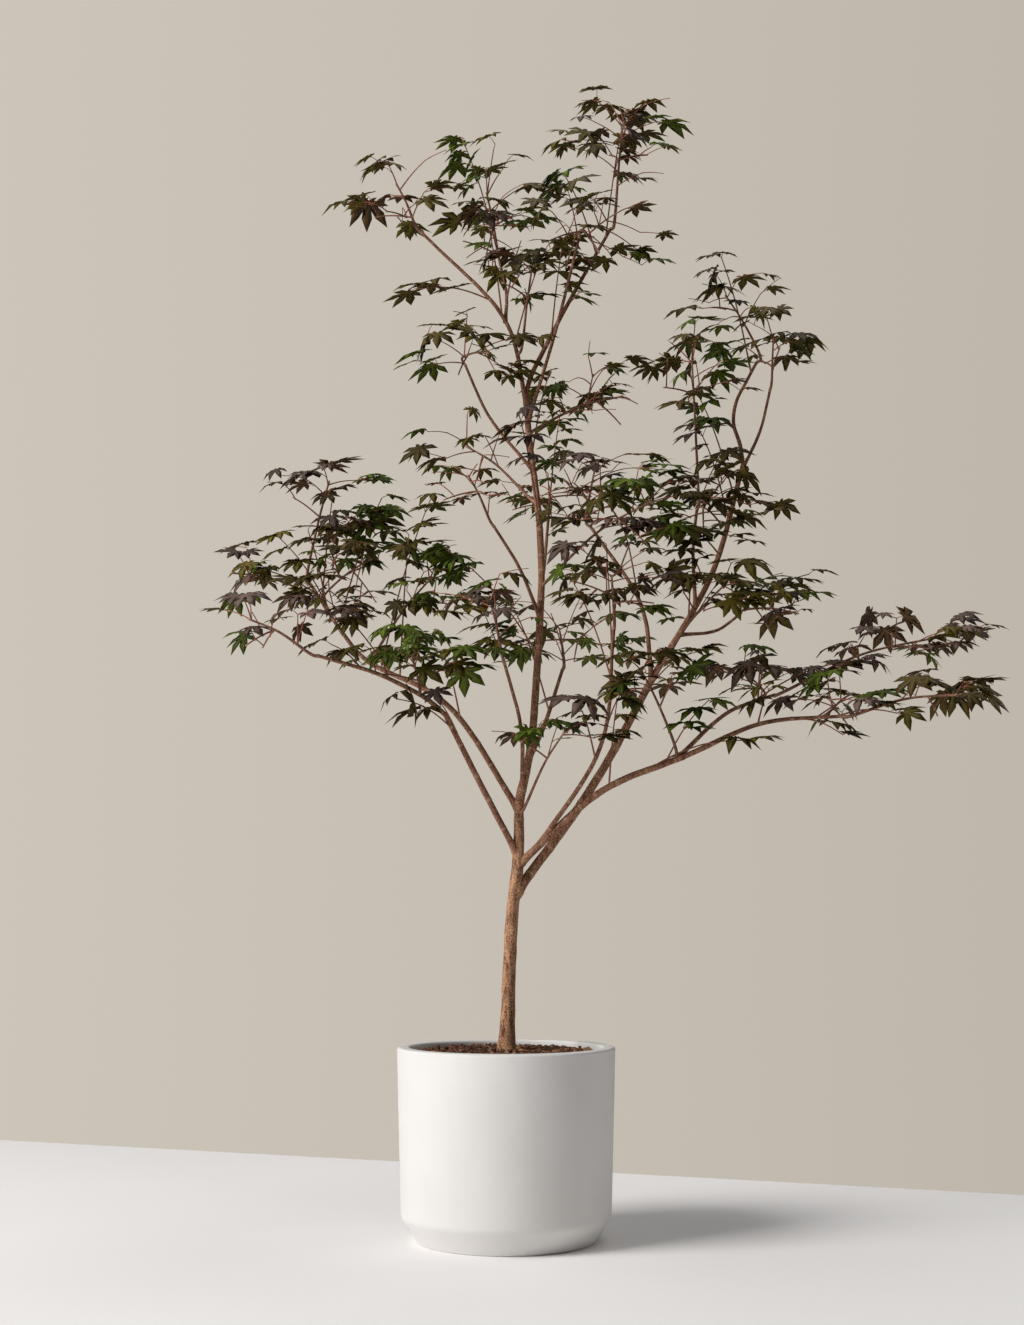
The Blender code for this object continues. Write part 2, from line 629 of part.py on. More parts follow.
def make_limbs(limbs, parts, cutters):
    """The trunk, cut flat above the potting mix, and the boughs, each clear of its parent."""
    material = make_material("bark")
    top = SOIL_TOP + GAP
    bottom = SOIL_TOP - GROUND_DEPTH
    ground = [(0.0, top), (GROUND_RADIUS, top), (GROUND_RADIUS, bottom), (0.0, bottom)]
    ground = make_cutter(turned_solid("ground", ground, 16, cutters))
    clearance = {}
    for name, (line, radius) in limbs.items():
        detail = 3 if name == "trunk" else 1
        obj = tube(name, line, radius, detail, parts)
        if name == "trunk":
            cut_clear(obj, ground)
        else:
            parent, share = BOUGHS[name][:2]
            near = [other for other in clearance if other in BOUGHS and BOUGHS[other][0] == parent
                    and abs(BOUGHS[other][1] - share) < FORK_SHARE]
            for other in [parent] + near:
                cut_clear(obj, clearance[other])
        apply_modifiers(obj)
        finish_piece(obj, material)
        clearance[name] = clearance_tube(name, line, radius, detail, cutters)
    return clearance


def solid_from(name, points, faces, collection):
    """An object from corner points and faces, with its faces outward."""
    model = bmesh.new()
    corners = [model.verts.new(point) for point in points]
    for face in faces:
        model.faces.new([corners[i] for i in face])
    bmesh.ops.triangulate(model, faces=model.faces)
    bmesh.ops.recalc_face_normals(model, faces=model.faces)
    mesh = bpy.data.meshes.new(name)
    model.to_mesh(mesh)
    model.free()
    return new_object(name, mesh, collection)


def triangle_ring(place, way, side, radius):
    """Three points round a place, square to a way, the first of them to one side."""
    up = way.cross(side)
    turns = (0.0, 2 * pi / 3, 4 * pi / 3)
    return [place + (side * cos(angle) + up * sin(angle)) * radius for angle in turns]


def leaf_object(place, turn, joint, collection):
    """One leaf and its stalk as one closed loft.

    The rim of lobes and notches rises to a middle point above, and runs below to a small
    triangle, which is carried down the stalk to its foot, inside the twig it grows from.
    """
    place, joint, turn = Vector(place), Vector(joint), Matrix(turn)
    way = (place - joint).normalized()
    above = turn.col[2] * LEAF_THICKNESS / 2
    side = turn.col[2].cross(way).normalized()
    rim = [place + turn @ Vector(point) for point in leaf_outline()]
    neck = triangle_ring(place - above, way, side, STALK)
    foot = triangle_ring(joint, way, side, STALK)
    count = len(rim)
    local = [turn.transposed() @ (point - place) for point in rim + neck]
    angles = [atan2(point.y, point.x) for point in local]
    nearest = [max(range(3), key=lambda k: cos(angles[i] - angles[count + k])) for i in range(count)]
    top = count + 6
    faces = [(count + 3, count + 4, count + 5)]
    for i in range(count):
        after = (i + 1) % count
        faces += [(i, after, top), (i, after, count + nearest[i])]
        k = nearest[i]
        while k != nearest[after]:
            faces.append((after, count + k, count + (k + 1) % 3))
            k = (k + 1) % 3
    for k in range(3):
        after = (k + 1) % 3
        faces.append((count + k, count + after, count + 3 + after, count + 3 + k))
    return solid_from("leaf", rim + neck + foot + [place + above], faces, collection)


def three_sided(name, line, radius, collection):
    """A three-sided twig carried along the points of a line."""
    line = [Vector(point) for point in line]
    side = (line[-1] - line[0]).orthogonal().normalized()
    points = []
    for number, point in enumerate(line):
        way = (line[min(len(line) - 1, number + 1)] - line[max(0, number - 1)]).normalized()
        side = (side - way * side.dot(way)).normalized()
        points += triangle_ring(point, way, side, radius)
    end = len(points) - 3
    faces = [(0, 1, 2), (end, end + 1, end + 2)]
    for ring in range(0, end, 3):
        for k in range(3):
            after = ring + (k + 1) % 3
            faces.append((ring + k, after, after + 3, ring + k + 3))
    return solid_from(name, points, faces, collection)


def make_mass(name, stem, twigs, leaves, clearance, parts):
    """Fuse a mass's stem, cut clear of its limb, with its side twigs and leaves."""
    joined = bpy.data.collections.new(name + "_leaves")
    bpy.context.scene.collection.children.link(joined)
    base = three_sided(name, stem, STEM, parts)
    limb, share = MASSES[name][:2]
    if share < 1.0:
        cut_clear(base, clearance[limb])
        apply_modifiers(base)
    for twig in twigs:
        three_sided("twig", twig, TWIG, joined)
    for leaf in leaves:
        leaf_object(*leaf, joined)
    fuse = base.modifiers.new("fuse", "BOOLEAN")
    fuse.operation = "UNION"
    fuse.operand_type = "COLLECTION"
    fuse.collection = joined
    fuse.solver = "MANIFOLD"
    apply_modifiers(base)
    join_level_faces(base.data)
    for obj in list(joined.objects):
        bpy.data.objects.remove(obj, do_unlink=True)
    bpy.data.collections.remove(joined)
    return base


def make_masses(limbs, clearance, parts):
    """All the masses of leaves, each in the space it keeps to."""
    materials = {tint: make_material(tint) for tint in ("bronze", "purple", "olive", "green")}
    for name, (stem, twigs, leaves) in grow_masses(limbs).items():
        mass = make_mass(name, stem, twigs, leaves, clearance, parts)
        finish_piece(mass, materials[MASSES[name][5]])


def build():
    clear_scene()
    parts = bpy.data.collections.new("potted_maple")
    cutters = bpy.data.collections.new("cutters")
    bpy.context.scene.collection.children.link(parts)
    bpy.context.scene.collection.children.link(cutters)
    finish_piece(make_pot(parts), make_material("white_pot"))
    finish_piece(make_soil(parts), make_material("bark_mulch"))
    limbs = limb_lines()
    clearance = make_limbs(limbs, parts, cutters)
    make_masses(limbs, clearance, parts)


build()
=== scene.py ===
"""Potted Japanese maple: the finished look of a young slender tree in a matt white planter.

Metres, +Z up, the front faces -Y, the origin is under the middle of the pot. The file follows
the plant as it is put together: pot, potting mix, trunk and boughs, twigs, leaves, then the
floor, the light and the camera.
"""

from math import asin, atan2, pi, radians

import bpy
import numpy as np
from mathutils import Matrix, Vector


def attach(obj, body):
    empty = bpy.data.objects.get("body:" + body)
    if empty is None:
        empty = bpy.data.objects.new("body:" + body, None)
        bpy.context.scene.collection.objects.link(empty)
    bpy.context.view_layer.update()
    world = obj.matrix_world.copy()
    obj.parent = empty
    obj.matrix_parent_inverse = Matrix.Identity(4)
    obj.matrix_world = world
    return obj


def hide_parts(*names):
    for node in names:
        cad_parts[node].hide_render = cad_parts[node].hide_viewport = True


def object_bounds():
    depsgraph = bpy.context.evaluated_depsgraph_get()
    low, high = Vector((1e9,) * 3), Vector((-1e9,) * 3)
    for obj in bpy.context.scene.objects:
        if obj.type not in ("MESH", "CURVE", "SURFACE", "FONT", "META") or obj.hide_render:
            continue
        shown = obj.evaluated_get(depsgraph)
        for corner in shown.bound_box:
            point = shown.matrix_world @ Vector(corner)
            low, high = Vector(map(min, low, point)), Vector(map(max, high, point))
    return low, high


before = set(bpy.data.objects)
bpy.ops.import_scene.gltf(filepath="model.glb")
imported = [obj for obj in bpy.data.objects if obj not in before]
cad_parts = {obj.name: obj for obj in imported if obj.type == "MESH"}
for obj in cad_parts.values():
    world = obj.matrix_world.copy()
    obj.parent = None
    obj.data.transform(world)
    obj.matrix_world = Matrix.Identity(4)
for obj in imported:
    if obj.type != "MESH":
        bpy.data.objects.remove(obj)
cad_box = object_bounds()

# The pot: one thick-walled planter, cast in one piece and finished matt white all over. Its wall
# leans out a little, its foot is chamfered and its lip is rounded; it stands on its flat underside.
POT_HEIGHT = 0.309
POT_RIM_RADIUS = 0.180
POT_FOOT_RADIUS = 0.145
POT_WALL = 0.022
POT_FLOOR = 0.028
CHAMFER_HEIGHT = 0.040
CHAMFER_RADIUS = 0.1717
LIP_ROUND = 0.0055
CHAMFER_ROUND = 0.006
FOOT_ROUND = 0.003


def rounded(corner, before, after, size):
    """The round of a corner between two lines: start (1 - t)^2 + corner 2 t (1 - t) + end t^2."""
    corner, before, after = (np.array(point, float) for point in (corner, before, after))
    start = corner + (before - corner) / np.linalg.norm(before - corner) * size
    end = corner + (after - corner) / np.linalg.norm(after - corner) * size
    t = np.linspace(0, 1, 9)[:, None]
    return start * (1 - t)**2 + corner * 2 * t * (1 - t) + end * t**2


def turned(profile, steps):
    """A profile turned round the axis: points (r cos a, r sin a, z), and one point at each end."""
    angle = np.linspace(0, 2 * pi, steps, endpoint=False)[:, None]
    radius, height = profile[1:-1].T
    rings = np.stack((radius * np.cos(angle), radius * np.sin(angle), height + 0 * angle), axis=2)
    cells = np.arange(rings[..., 0].size).reshape(steps, -1)
    after = np.roll(cells, -1, axis=0)
    sides = np.stack((cells[:, :-1], cells[:, 1:], after[:, 1:], after[:, :-1]), axis=2).reshape(-1, 4)
    poles = cells.size + np.zeros((steps, 1), int)
    start = np.hstack((poles, cells[:, :1], after[:, :1]))
    end = np.hstack((poles + 1, after[:, -1:], cells[:, -1:]))
    points = np.vstack((rings.reshape(-1, 3), [(0, 0, profile[0, 1]), (0, 0, profile[-1, 1])]))
    return points, [sides, start, end]


def make_piece(name, points, faces, finish, slot, stands_for=(), marks=None):
    """A finished piece of the plant from its points and arrays of faces, with marks on its points."""
    corners = np.concatenate([group.ravel() for group in faces])
    sizes = np.concatenate([np.full(len(group), group.shape[1]) for group in faces])
    mesh = bpy.data.meshes.new(name)
    mesh.vertices.add(len(points))
    mesh.vertices.foreach_set("co", points.astype(np.float32).ravel())
    mesh.loops.add(len(corners))
    mesh.loops.foreach_set("vertex_index", corners.astype(np.int32))
    mesh.polygons.add(len(sizes))
    mesh.polygons.foreach_set("loop_start", (np.cumsum(sizes) - sizes).astype(np.int32))
    mesh.update(calc_edges=True)
    for mark, values in (marks or {}).items():
        layer = mesh.attributes.new(mark, "FLOAT", "POINT")
        layer.data.foreach_set("value", np.asarray(values, np.float32).ravel())
    mesh.shade_smooth()
    mesh.materials.append(finish)
    piece = bpy.data.objects.new(name, mesh)
    bpy.context.scene.collection.objects.link(piece)
    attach(piece, "root")
    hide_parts(*stands_for)
    return piece


class Shade:
    """One value of a finish: a socket of its node tree that adds and multiplies like a number."""

    def __init__(self, tree, socket=None):
        self.tree = tree
        self.socket = socket

    def node(self, kind, settings, inputs, out=0):
        """Any node of the tree: its settings, then its inputs' values and links."""
        made = self.tree.nodes.new(kind)
        for name, value in settings.items():
            setattr(made, name, value)
        for place, value in inputs.items():
            if isinstance(value, Shade):
                self.tree.links.new(value.socket, made.inputs[place])
            else:
                made.inputs[place].default_value = value
        return Shade(self.tree, made.outputs[out])

    def sum_with(self, operation, first, second):
        return self.node("ShaderNodeMath", {"operation": operation}, {0: first, 1: second})

    def __add__(self, other):
        return self.sum_with("ADD", self, other)

    def __sub__(self, other):
        return self.sum_with("SUBTRACT", self, other)

    def __mul__(self, other):
        return self.sum_with("MULTIPLY", self, other)

    def __rsub__(self, other):
        return self.sum_with("SUBTRACT", other, self)

    __radd__ = __add__
    __rmul__ = __mul__

    def noise(self, scale, detail=2.0, stretch=(1, 1, 1)):
        """Cloudy unevenness of a place, from about 0.3 to 0.7."""
        place = self.node("ShaderNodeMapping", {}, {"Vector": self, "Scale": stretch})
        return self.node("ShaderNodeTexNoise", {}, {"Vector": place, "Scale": scale, "Detail": detail}, "Fac")

    def between(self, low, high):
        """This value spread from 0 at one value to 1 at another, and held there."""
        return self.node("ShaderNodeMapRange", {}, {"Value": self, "From Min": low, "From Max": high})

    def mix(self, first, second):
        """The first colour where this value is 0, the second where it is 1."""
        colours = [colour if isinstance(colour, Shade) else (*colour, 1.0) for colour in (first, second)]
        return self.node("ShaderNodeMix", {"data_type": "RGBA"}, {0: self, 6: colours[0], 7: colours[1]}, 2)

    def bump(self, strength, distance):
        """The surface's tilt where this value is its height."""
        return self.node("ShaderNodeBump", {}, {"Height": self, "Strength": strength, "Distance": distance}, "Normal")

    def feed(self, name):
        """Link this value to the shader's own socket of that name."""
        self.tree.links.new(self.socket, self.tree.nodes["Principled BSDF"].inputs[name])


def new_finish(name, roughness, specular):
    """A material, the value to build its look from, and the place on the piece in metres."""
    material = bpy.data.materials.new(name)
    material.use_nodes = True
    shader = material.node_tree.nodes["Principled BSDF"]
    shader.inputs["Roughness"].default_value = roughness
    shader.inputs["Specular IOR Level"].default_value = specular
    base = Shade(material.node_tree)
    return material, base, base.node("ShaderNodeTexCoord", {}, {}, "Object")


def white_pot_finish():
    """Matt white, faintly clouded, with the fine tooth of a cast surface."""
    material, base, place = new_finish("white_pot", 0.72, 0.35)
    place.noise(9.0).between(0.35, 0.65).mix((0.83, 0.815, 0.795), (0.80, 0.785, 0.762)).feed("Base Color")
    (place.noise(700.0) + place.noise(60.0) * 0.5).bump(0.10, 0.0006).feed("Normal")
    return material


inside_foot = (CHAMFER_RADIUS - POT_WALL, CHAMFER_HEIGHT)
rim_in = (POT_RIM_RADIUS - POT_WALL, POT_HEIGHT)
rim_out = (POT_RIM_RADIUS, POT_HEIGHT)
chamfer = (CHAMFER_RADIUS, CHAMFER_HEIGHT)
foot = (POT_FOOT_RADIUS, 0.0)
pot_profile = np.vstack((
    [(0.0, POT_FLOOR), (POT_FOOT_RADIUS - POT_WALL, POT_FLOOR), inside_foot],
    rounded(rim_in, inside_foot, rim_out, LIP_ROUND),
    rounded(rim_out, rim_in, chamfer, LIP_ROUND),
    rounded(chamfer, rim_out, foot, CHAMFER_ROUND),
    rounded(foot, chamfer, (0.0, 0.0), FOOT_ROUND),
    [(0.0, 0.0)],
))
make_piece("pot_body", *turned(pot_profile, 192), white_pot_finish(), "white_pot", ["pot"])

# The potting mix: dark and crumbly, filled to 14 mm below the lip and heaped a little towards
# the trunk, with a loose mulch of broken bark chips strewn over it by hand.
SOIL_TOP = 0.295
SOIL_EDGE = 0.1569
SOIL_HEAP = 0.0045
CHIP_COUNT = 1900
CHIP_LEAST = np.array((0.005, 0.003, 0.0012))
CHIP_MOST = np.array((0.019, 0.008, 0.0035))


def waves(places, count, least, most, seed):
    """Seeded unevenness about 0: cosines of the places along random ways, summed."""
    random = np.random.default_rng(seed)
    ways = random.normal(size=(places.shape[-1], count))
    ways *= random.uniform(least, most, count) / np.linalg.norm(ways, axis=0)
    return np.cos(places @ ways + random.uniform(0, 2 * pi, count)).sum(axis=-1) / count**0.5


def mulch_finish():
    """Brown bark, each chip its own shade, some broken open to a redder inside."""
    material, base, place = new_finish("bark_mulch", 0.88, 0.25)
    shade = base.node("ShaderNodeAttribute", {"attribute_name": "shade"}, {}, "Fac")
    dark = place.noise(240.0, 4.0).between(0.3, 0.7).mix((0.040, 0.018, 0.011), (0.130, 0.060, 0.034))
    shade.between(0.45, 1.0).mix(dark, (0.46, 0.235, 0.130)).feed("Base Color")
    place.noise(420.0, 4.0).bump(0.6, 0.002).feed("Normal")
    return material


bed_radii = np.linspace(0.006, SOIL_EDGE, 46)
bed_profile = np.vstack((
    [(0.0, SOIL_TOP)],
    np.column_stack((bed_radii, np.full(46, SOIL_TOP))),
    [(SOIL_EDGE, SOIL_TOP - 0.02), (0.0, SOIL_TOP - 0.02)],
))
bed, bed_faces = turned(bed_profile, 120)
on_top = bed[:, 2] > SOIL_TOP - 0.01
bed[on_top, 2] += SOIL_HEAP * (1 - (np.hypot(*bed[on_top, :2].T) / SOIL_EDGE)**2)
bed[on_top, 2] += 0.0010 * waves(bed[on_top], 24, 200, 900, 3)
mulch = mulch_finish()
make_piece("potting_mix", bed, bed_faces, mulch, "bark_mulch", ["soil"], {"shade": np.zeros(len(bed))})

draw = np.random.default_rng(7)
chip_size = draw.uniform(CHIP_LEAST, CHIP_MOST, (CHIP_COUNT, 3))
chip_corner = np.array([(x, y, z) for z in (-1, 1) for y in (-1, 1) for x in (-1, 1)]) / 2
chips = chip_corner * chip_size[:, None] * draw.uniform(0.55, 1.0, (CHIP_COUNT, 8, 3))
turn, tilt, lean = draw.uniform(0, 2 * pi, CHIP_COUNT), *draw.normal(0, 0.38, (2, CHIP_COUNT))


def turns(head, nose, roll):
    """The three ways of things that head one way, with their nose down and rolled to a side."""
    ahead = np.stack((np.cos(head) * np.cos(nose), np.sin(head) * np.cos(nose), -np.sin(nose)), axis=-1)
    level = np.stack((-np.sin(head), np.cos(head), 0 * head), axis=-1)
    above = np.cross(ahead, level)
    roll = roll[..., None]
    side = level * np.cos(roll) + above * np.sin(roll)
    return np.stack((ahead, side, np.cross(ahead, side)), axis=-2)


spread = (SOIL_EDGE - 0.006) * draw.random(CHIP_COUNT)**0.5
bearing = draw.uniform(0, 2 * pi, CHIP_COUNT)
chip_place = np.stack((spread * np.cos(bearing), spread * np.sin(bearing),
                       SOIL_TOP + SOIL_HEAP * (1 - (spread / SOIL_EDGE)**2)
                       + draw.uniform(0.0005, 0.0045, CHIP_COUNT)), axis=1)
chips = np.einsum("nij,njk->nik", chips, turns(turn, tilt, lean)) + chip_place[:, None]
chip_faces = np.array([(0, 2, 3, 1), (4, 5, 7, 6), (0, 1, 5, 4), (2, 6, 7, 3), (0, 4, 6, 2), (1, 3, 7, 5)])
chip_faces = (np.arange(CHIP_COUNT)[:, None, None] * 8 + chip_faces).reshape(-1, 4)
chip_shade = np.repeat(draw.random(CHIP_COUNT), 8)
chip_piece = make_piece("bark_chips", chips.reshape(-1, 3), [chip_faces], mulch, "bark_mulch", (),
                        {"shade": chip_shade})
chip_piece.data.shade_flat()

# The trunk and boughs: living wood, each limb one taper along a smooth curve, grown out of the
# limb before it with a swelling at its foot. The bark is tan and flecked low down, redder and
# smoother on thin limbs, and ringed with pale scars where leaf pairs once stood.
TRUNK_LINE = (
    (0.000, 0.000, 0.278),
    (0.008, 0.004, 0.500),
    (0.020, 0.000, 0.620),
    (0.023, -0.003, 0.720),
    (0.041, 0.000, 0.800),
    (0.053, 0.005, 0.950),
    (0.060, 0.004, 1.100),
    (0.054, 0.000, 1.220),
    (0.040, -0.003, 1.330),
    (0.034, 0.000, 1.420),
)
TRUNK_TAPER = ((0.0, 0.0185), (0.03, 0.0135), (0.10, 0.0112), (0.27, 0.0102), (0.45, 0.0066), (1.0, 0.0052))
TRUNK_POINTS = 22
BOUGH_SPACING = 0.045
KNOT = np.array((0.013, -0.012, 0.493))

# Each bough: the limb it grows from, the share of that limb's length, its tip,
# how far its middle bows from a straight line, and its radius at the foot and at the tip
BOUGHS = {
    "left_low_bough": ("trunk", 0.300, (-0.100, -0.085, 0.850), (-0.004, 0.0, 0.006), 0.0054, 0.0044),
    "left_low_end": ("left_low_bough", 1.0, (-0.300, -0.170, 0.935), (0.0, 0.0, 0.016), 0.0042, 0.0028),
    "left_bough": ("trunk", 0.365, (-0.235, 0.070, 0.955), (0.010, 0.0, 0.050), 0.0052, 0.0040),
    "left_bough_end": ("left_bough", 1.0, (-0.345, 0.095, 1.100), (-0.004, 0.0, -0.006), 0.0038, 0.0028),
    "front_stem": ("trunk", 0.398, (-0.002, -0.100, 0.930), (0.012, -0.010, 0.0), 0.0036, 0.0026),
    "right_low_bough": ("trunk", 0.286, (0.293, -0.070, 0.782), (0.0, 0.0, 0.032), 0.0064, 0.0050),
    "right_low_end": ("right_low_bough", 1.0, (0.545, -0.125, 0.843), (0.0, 0.0, 0.022), 0.0046, 0.0028),
    "right_low_fork": ("right_low_bough", 0.96, (0.455, 0.000, 0.893), (0.0, 0.0, 0.022), 0.0038, 0.0028),
    "right_inner_stem": ("right_low_bough", 0.14, (0.176, -0.120, 0.985), (0.042, 0.0, -0.010), 0.0042, 0.0028),
    "right_main_bough": ("trunk", 0.243, (0.262, 0.110, 0.945), (0.008, 0.0, -0.012), 0.0082, 0.0064),
    "right_main_right": ("right_main_bough", 1.0, (0.425, 0.120, 1.325), (0.022, 0.0, -0.010), 0.0058, 0.0042),
    "right_main_left": ("right_main_bough", 0.97, (0.150, 0.100, 1.205), (0.034, 0.0, 0.0), 0.0042, 0.0028),
    "right_top_left": ("right_main_right", 1.0, (0.455, 0.140, 1.520), (-0.030, 0.0, 0.0), 0.0038, 0.0026),
    "right_top_right": ("right_main_right", 0.97, (0.465, 0.050, 1.440), (0.008, 0.0, 0.0), 0.0030, 0.0024),
    "right_mid_stem": ("right_main_right", 0.36, (0.330, 0.010, 1.225), (-0.006, 0.0, 0.010), 0.0034, 0.0026),
    "right_shelf_bough": ("right_main_right", 0.22, (0.420, 0.165, 1.060), (0.010, 0.0, -0.012), 0.0032, 0.0024),
    "left_mid_stem": ("trunk", 0.655, (-0.020, -0.085, 1.165), (0.004, 0.0, 0.008), 0.0032, 0.0024),
    "left_high_stem": ("trunk", 0.880, (-0.070, -0.030, 1.460), (-0.016, 0.0, 0.0), 0.0030, 0.0022),
    "top_right_bough": ("trunk", 1.0, (0.185, 0.040, 1.735), (-0.008, 0.0, 0.0), 0.0044, 0.0028),
    "top_left_bough": ("trunk", 0.98, (-0.145, -0.040, 1.695), (0.050, 0.0, 0.004), 0.0040, 0.0026),
    "top_left_stem": ("top_left_bough", 0.42, (-0.010, 0.030, 1.660), (0.006, 0.0, 0.0), 0.0030, 0.0024),
    "top_front_stem": ("trunk", 0.955, (0.125, -0.055, 1.680), (0.004, 0.0, 0.0), 0.0034, 0.0024),
    "back_low_bough": ("trunk", 0.440, (0.100, 0.185, 0.960), (0.0, 0.010, -0.012), 0.0046, 0.0030),
    "back_high_bough": ("trunk", 0.700, (0.075, 0.160, 1.230), (0.0, 0.010, -0.010), 0.0036, 0.0026),
}


def smooth_line(points, count):
    """Evenly spaced points of the smooth curve through a few set points, cubic from one to the next."""
    set_points = np.asarray(points, float)
    ends = np.vstack((2 * set_points[0] - set_points[1], set_points, 2 * set_points[-1] - set_points[-2]))
    t = np.linspace(0, 1, 24, endpoint=False)[:, None]
    spans = []
    for a, b, c, d in zip(ends, ends[1:], ends[2:], ends[3:]):
        cubic = 3 * b - 3 * c + d - a
        square = 2 * a - 5 * b + 4 * c - d
        spans.append(0.5 * (2 * b + (c - a) * t + square * t**2 + cubic * t**3))
    line = np.vstack(spans + [set_points[-1:]])
    run = np.concatenate(([0], np.cumsum(np.linalg.norm(np.diff(line, axis=0), axis=1))))
    even = np.linspace(0, run[-1], count)
    return np.column_stack([np.interp(even, run, line[:, k]) for k in range(3)])


def along(line, share):
    """The point at a share of a line's length."""
    run = np.linspace(0, 1, len(line))
    return np.array([np.interp(share, run, line[:, k]) for k in range(3)])


def heading(line, share):
    """The direction of a line at a share of its length."""
    way = along(line, min(1.0, share + 0.02)) - along(line, max(0.0, share - 0.02))
    return way / np.linalg.norm(way)


def limb_lines():
    """The centre line and the radii of the trunk and of every bough."""
    trunk = smooth_line(TRUNK_LINE, TRUNK_POINTS)
    shares, sizes = zip(*TRUNK_TAPER)
    limbs = {"trunk": (trunk, np.interp(np.linspace(0, 1, TRUNK_POINTS), shares, sizes))}
    for name, (parent, share, tip, bow, foot_radius, tip_radius) in BOUGHS.items():
        parent_line = limbs[parent][0]
        foot = along(parent_line, share)
        tip = np.array(tip)
        middle = (foot + tip) / 2 + np.array(bow)
        points = (foot, middle, tip)
        if share >= 1.0:
            way = heading(parent_line, 1.0)
            foot = foot - way * 0.001
            points = (foot, foot + way * 0.013, middle, tip)
        count = max(6, round(np.linalg.norm(tip - foot) / BOUGH_SPACING) + 1)
        limbs[name] = (smooth_line(points, count), np.linspace(foot_radius, tip_radius, count))
    return limbs


def carried(paths, radii, around):
    """Round sections carried along paths: place + (side cos a + up sin a) radius, for even a.

    Side is one fixed way of the path made square to its heading, and up is square to both.
    """
    ahead = np.gradient(paths, axis=1)
    ahead /= np.linalg.norm(ahead, axis=2, keepdims=True)
    fixed = np.eye(3)[np.argmin(np.abs(paths[:, -1] - paths[:, 0]), axis=1)][:, None]
    side = fixed - (fixed * ahead).sum(axis=2, keepdims=True) * ahead
    side /= np.linalg.norm(side, axis=2, keepdims=True)
    up = np.cross(ahead, side)
    angle = np.linspace(0, 2 * pi, around, endpoint=False)[:, None]
    out = side[:, :, None] * np.cos(angle) + up[:, :, None] * np.sin(angle)
    return paths[:, :, None] + out * radii.reshape(*paths.shape[:2], -1, 1)


def tube_faces(count, rings, around):
    """The faces of tubes made of rings of points, with flat ends."""
    cells = np.arange(count * rings * around).reshape(count, rings, around)
    after = np.roll(cells, -1, axis=2)
    sides = np.stack((cells[:, :-1], after[:, :-1], after[:, 1:], cells[:, 1:]), axis=3).reshape(-1, 4)
    return [sides, np.vstack((cells[:, 0, ::-1], cells[:, -1]))]


def bark_finish():
    """Tan flecked bark, redder on thin wood, with pale leaf scars and dark cracks."""
    material, base, place = new_finish("bark", 0.82, 0.25)
    thin = base.node("ShaderNodeAttribute", {"attribute_name": "thin"}, {}, "Fac")
    scar = base.node("ShaderNodeAttribute", {"attribute_name": "scar"}, {}, "Fac")
    fleck = place.noise(620.0, 5.0, (1, 1, 0.6)) * 0.6 + place.noise(170.0, 3.0, (1, 1, 0.22)) * 0.4
    cloud = place.noise(38.0, 3.0)
    thick_bark = fleck.between(0.42, 0.57).mix((0.112, 0.044, 0.024), (0.64, 0.350, 0.195))
    thin_bark = fleck.between(0.38, 0.64).mix((0.105, 0.042, 0.026), (0.400, 0.195, 0.115))
    wood = thin.mix(thick_bark, thin_bark)
    wood = (cloud.between(0.50, 0.75) * 0.5).mix(wood, (0.42, 0.225, 0.135))
    (scar * 0.75).mix(wood, (0.54, 0.350, 0.225)).feed("Base Color")
    (fleck + place.noise(900.0) * 0.4).bump(0.55, 0.0016).feed("Normal")
    return material


def make_limb(name, line, radius, spacing, around, parent_radius, seed):
    """One limb with the bark's relief, leaf scars, and a swelling where it leaves its parent."""
    length = np.linalg.norm(np.diff(line, axis=0), axis=1).sum()
    count = int(length / spacing) + 2
    run = np.linspace(0, length, count)
    size = np.interp(run / length, np.linspace(0, 1, len(radius)), radius)
    size = size * (1 + 0.45 * np.exp(-np.maximum(run - parent_radius, 0) / 0.009) * (parent_radius > 0))
    scars = np.cumsum(np.random.default_rng(seed).uniform(0.024, 0.062, 40))
    scar = np.exp(-((run[:, None] - scars) / 0.0016)**2).sum(axis=1) * np.clip((0.012 - size) / 0.004, 0, 1)
    angle = np.linspace(0, 2 * pi, around, endpoint=False)
    places = np.stack(np.broadcast_arrays(2 * np.cos(angle), 2 * np.sin(angle), run[:, None] * 110), axis=2)
    relief = 1 + 0.030 * waves(places, 14, 0.5, 2.2, seed) + 0.10 * scar[:, None]
    path = smooth_line(line, count)[None]
    skin = size[:, None] * relief
    if name == "trunk":
        skin = skin * (1 + 0.22 * np.exp(-run[:, None] / 0.022) * np.cos(3 * angle + 1))
        near = np.linalg.norm(carried(path, skin[None], around)[0] - KNOT, axis=2)
        skin = skin * (1 + 0.30 * np.exp(-(near / 0.0065)**2))
    thin = np.repeat(np.clip((0.0105 - size) / 0.0055, 0, 1), around)
    points = carried(path, skin[None], around).reshape(-1, 3)
    marks = {"thin": thin, "scar": np.repeat(np.clip(scar, 0, 1), around)}
    make_piece(name + "_bark", points, tube_faces(1, count, around), bark, "bark", [name], marks)


bark = bark_finish()
limbs = limb_lines()
make_limb("trunk", *limbs["trunk"], 0.0022, 44, 0.0, 5)
for number, (name, (parent, share, *_)) in enumerate(BOUGHS.items()):
    parent_radius = np.interp(share, np.linspace(0, 1, len(limbs[parent][1])), limbs[parent][1])
    make_limb(name, *limbs[name], 0.0026, 16, parent_radius * (share < 1.0), 50 + number)

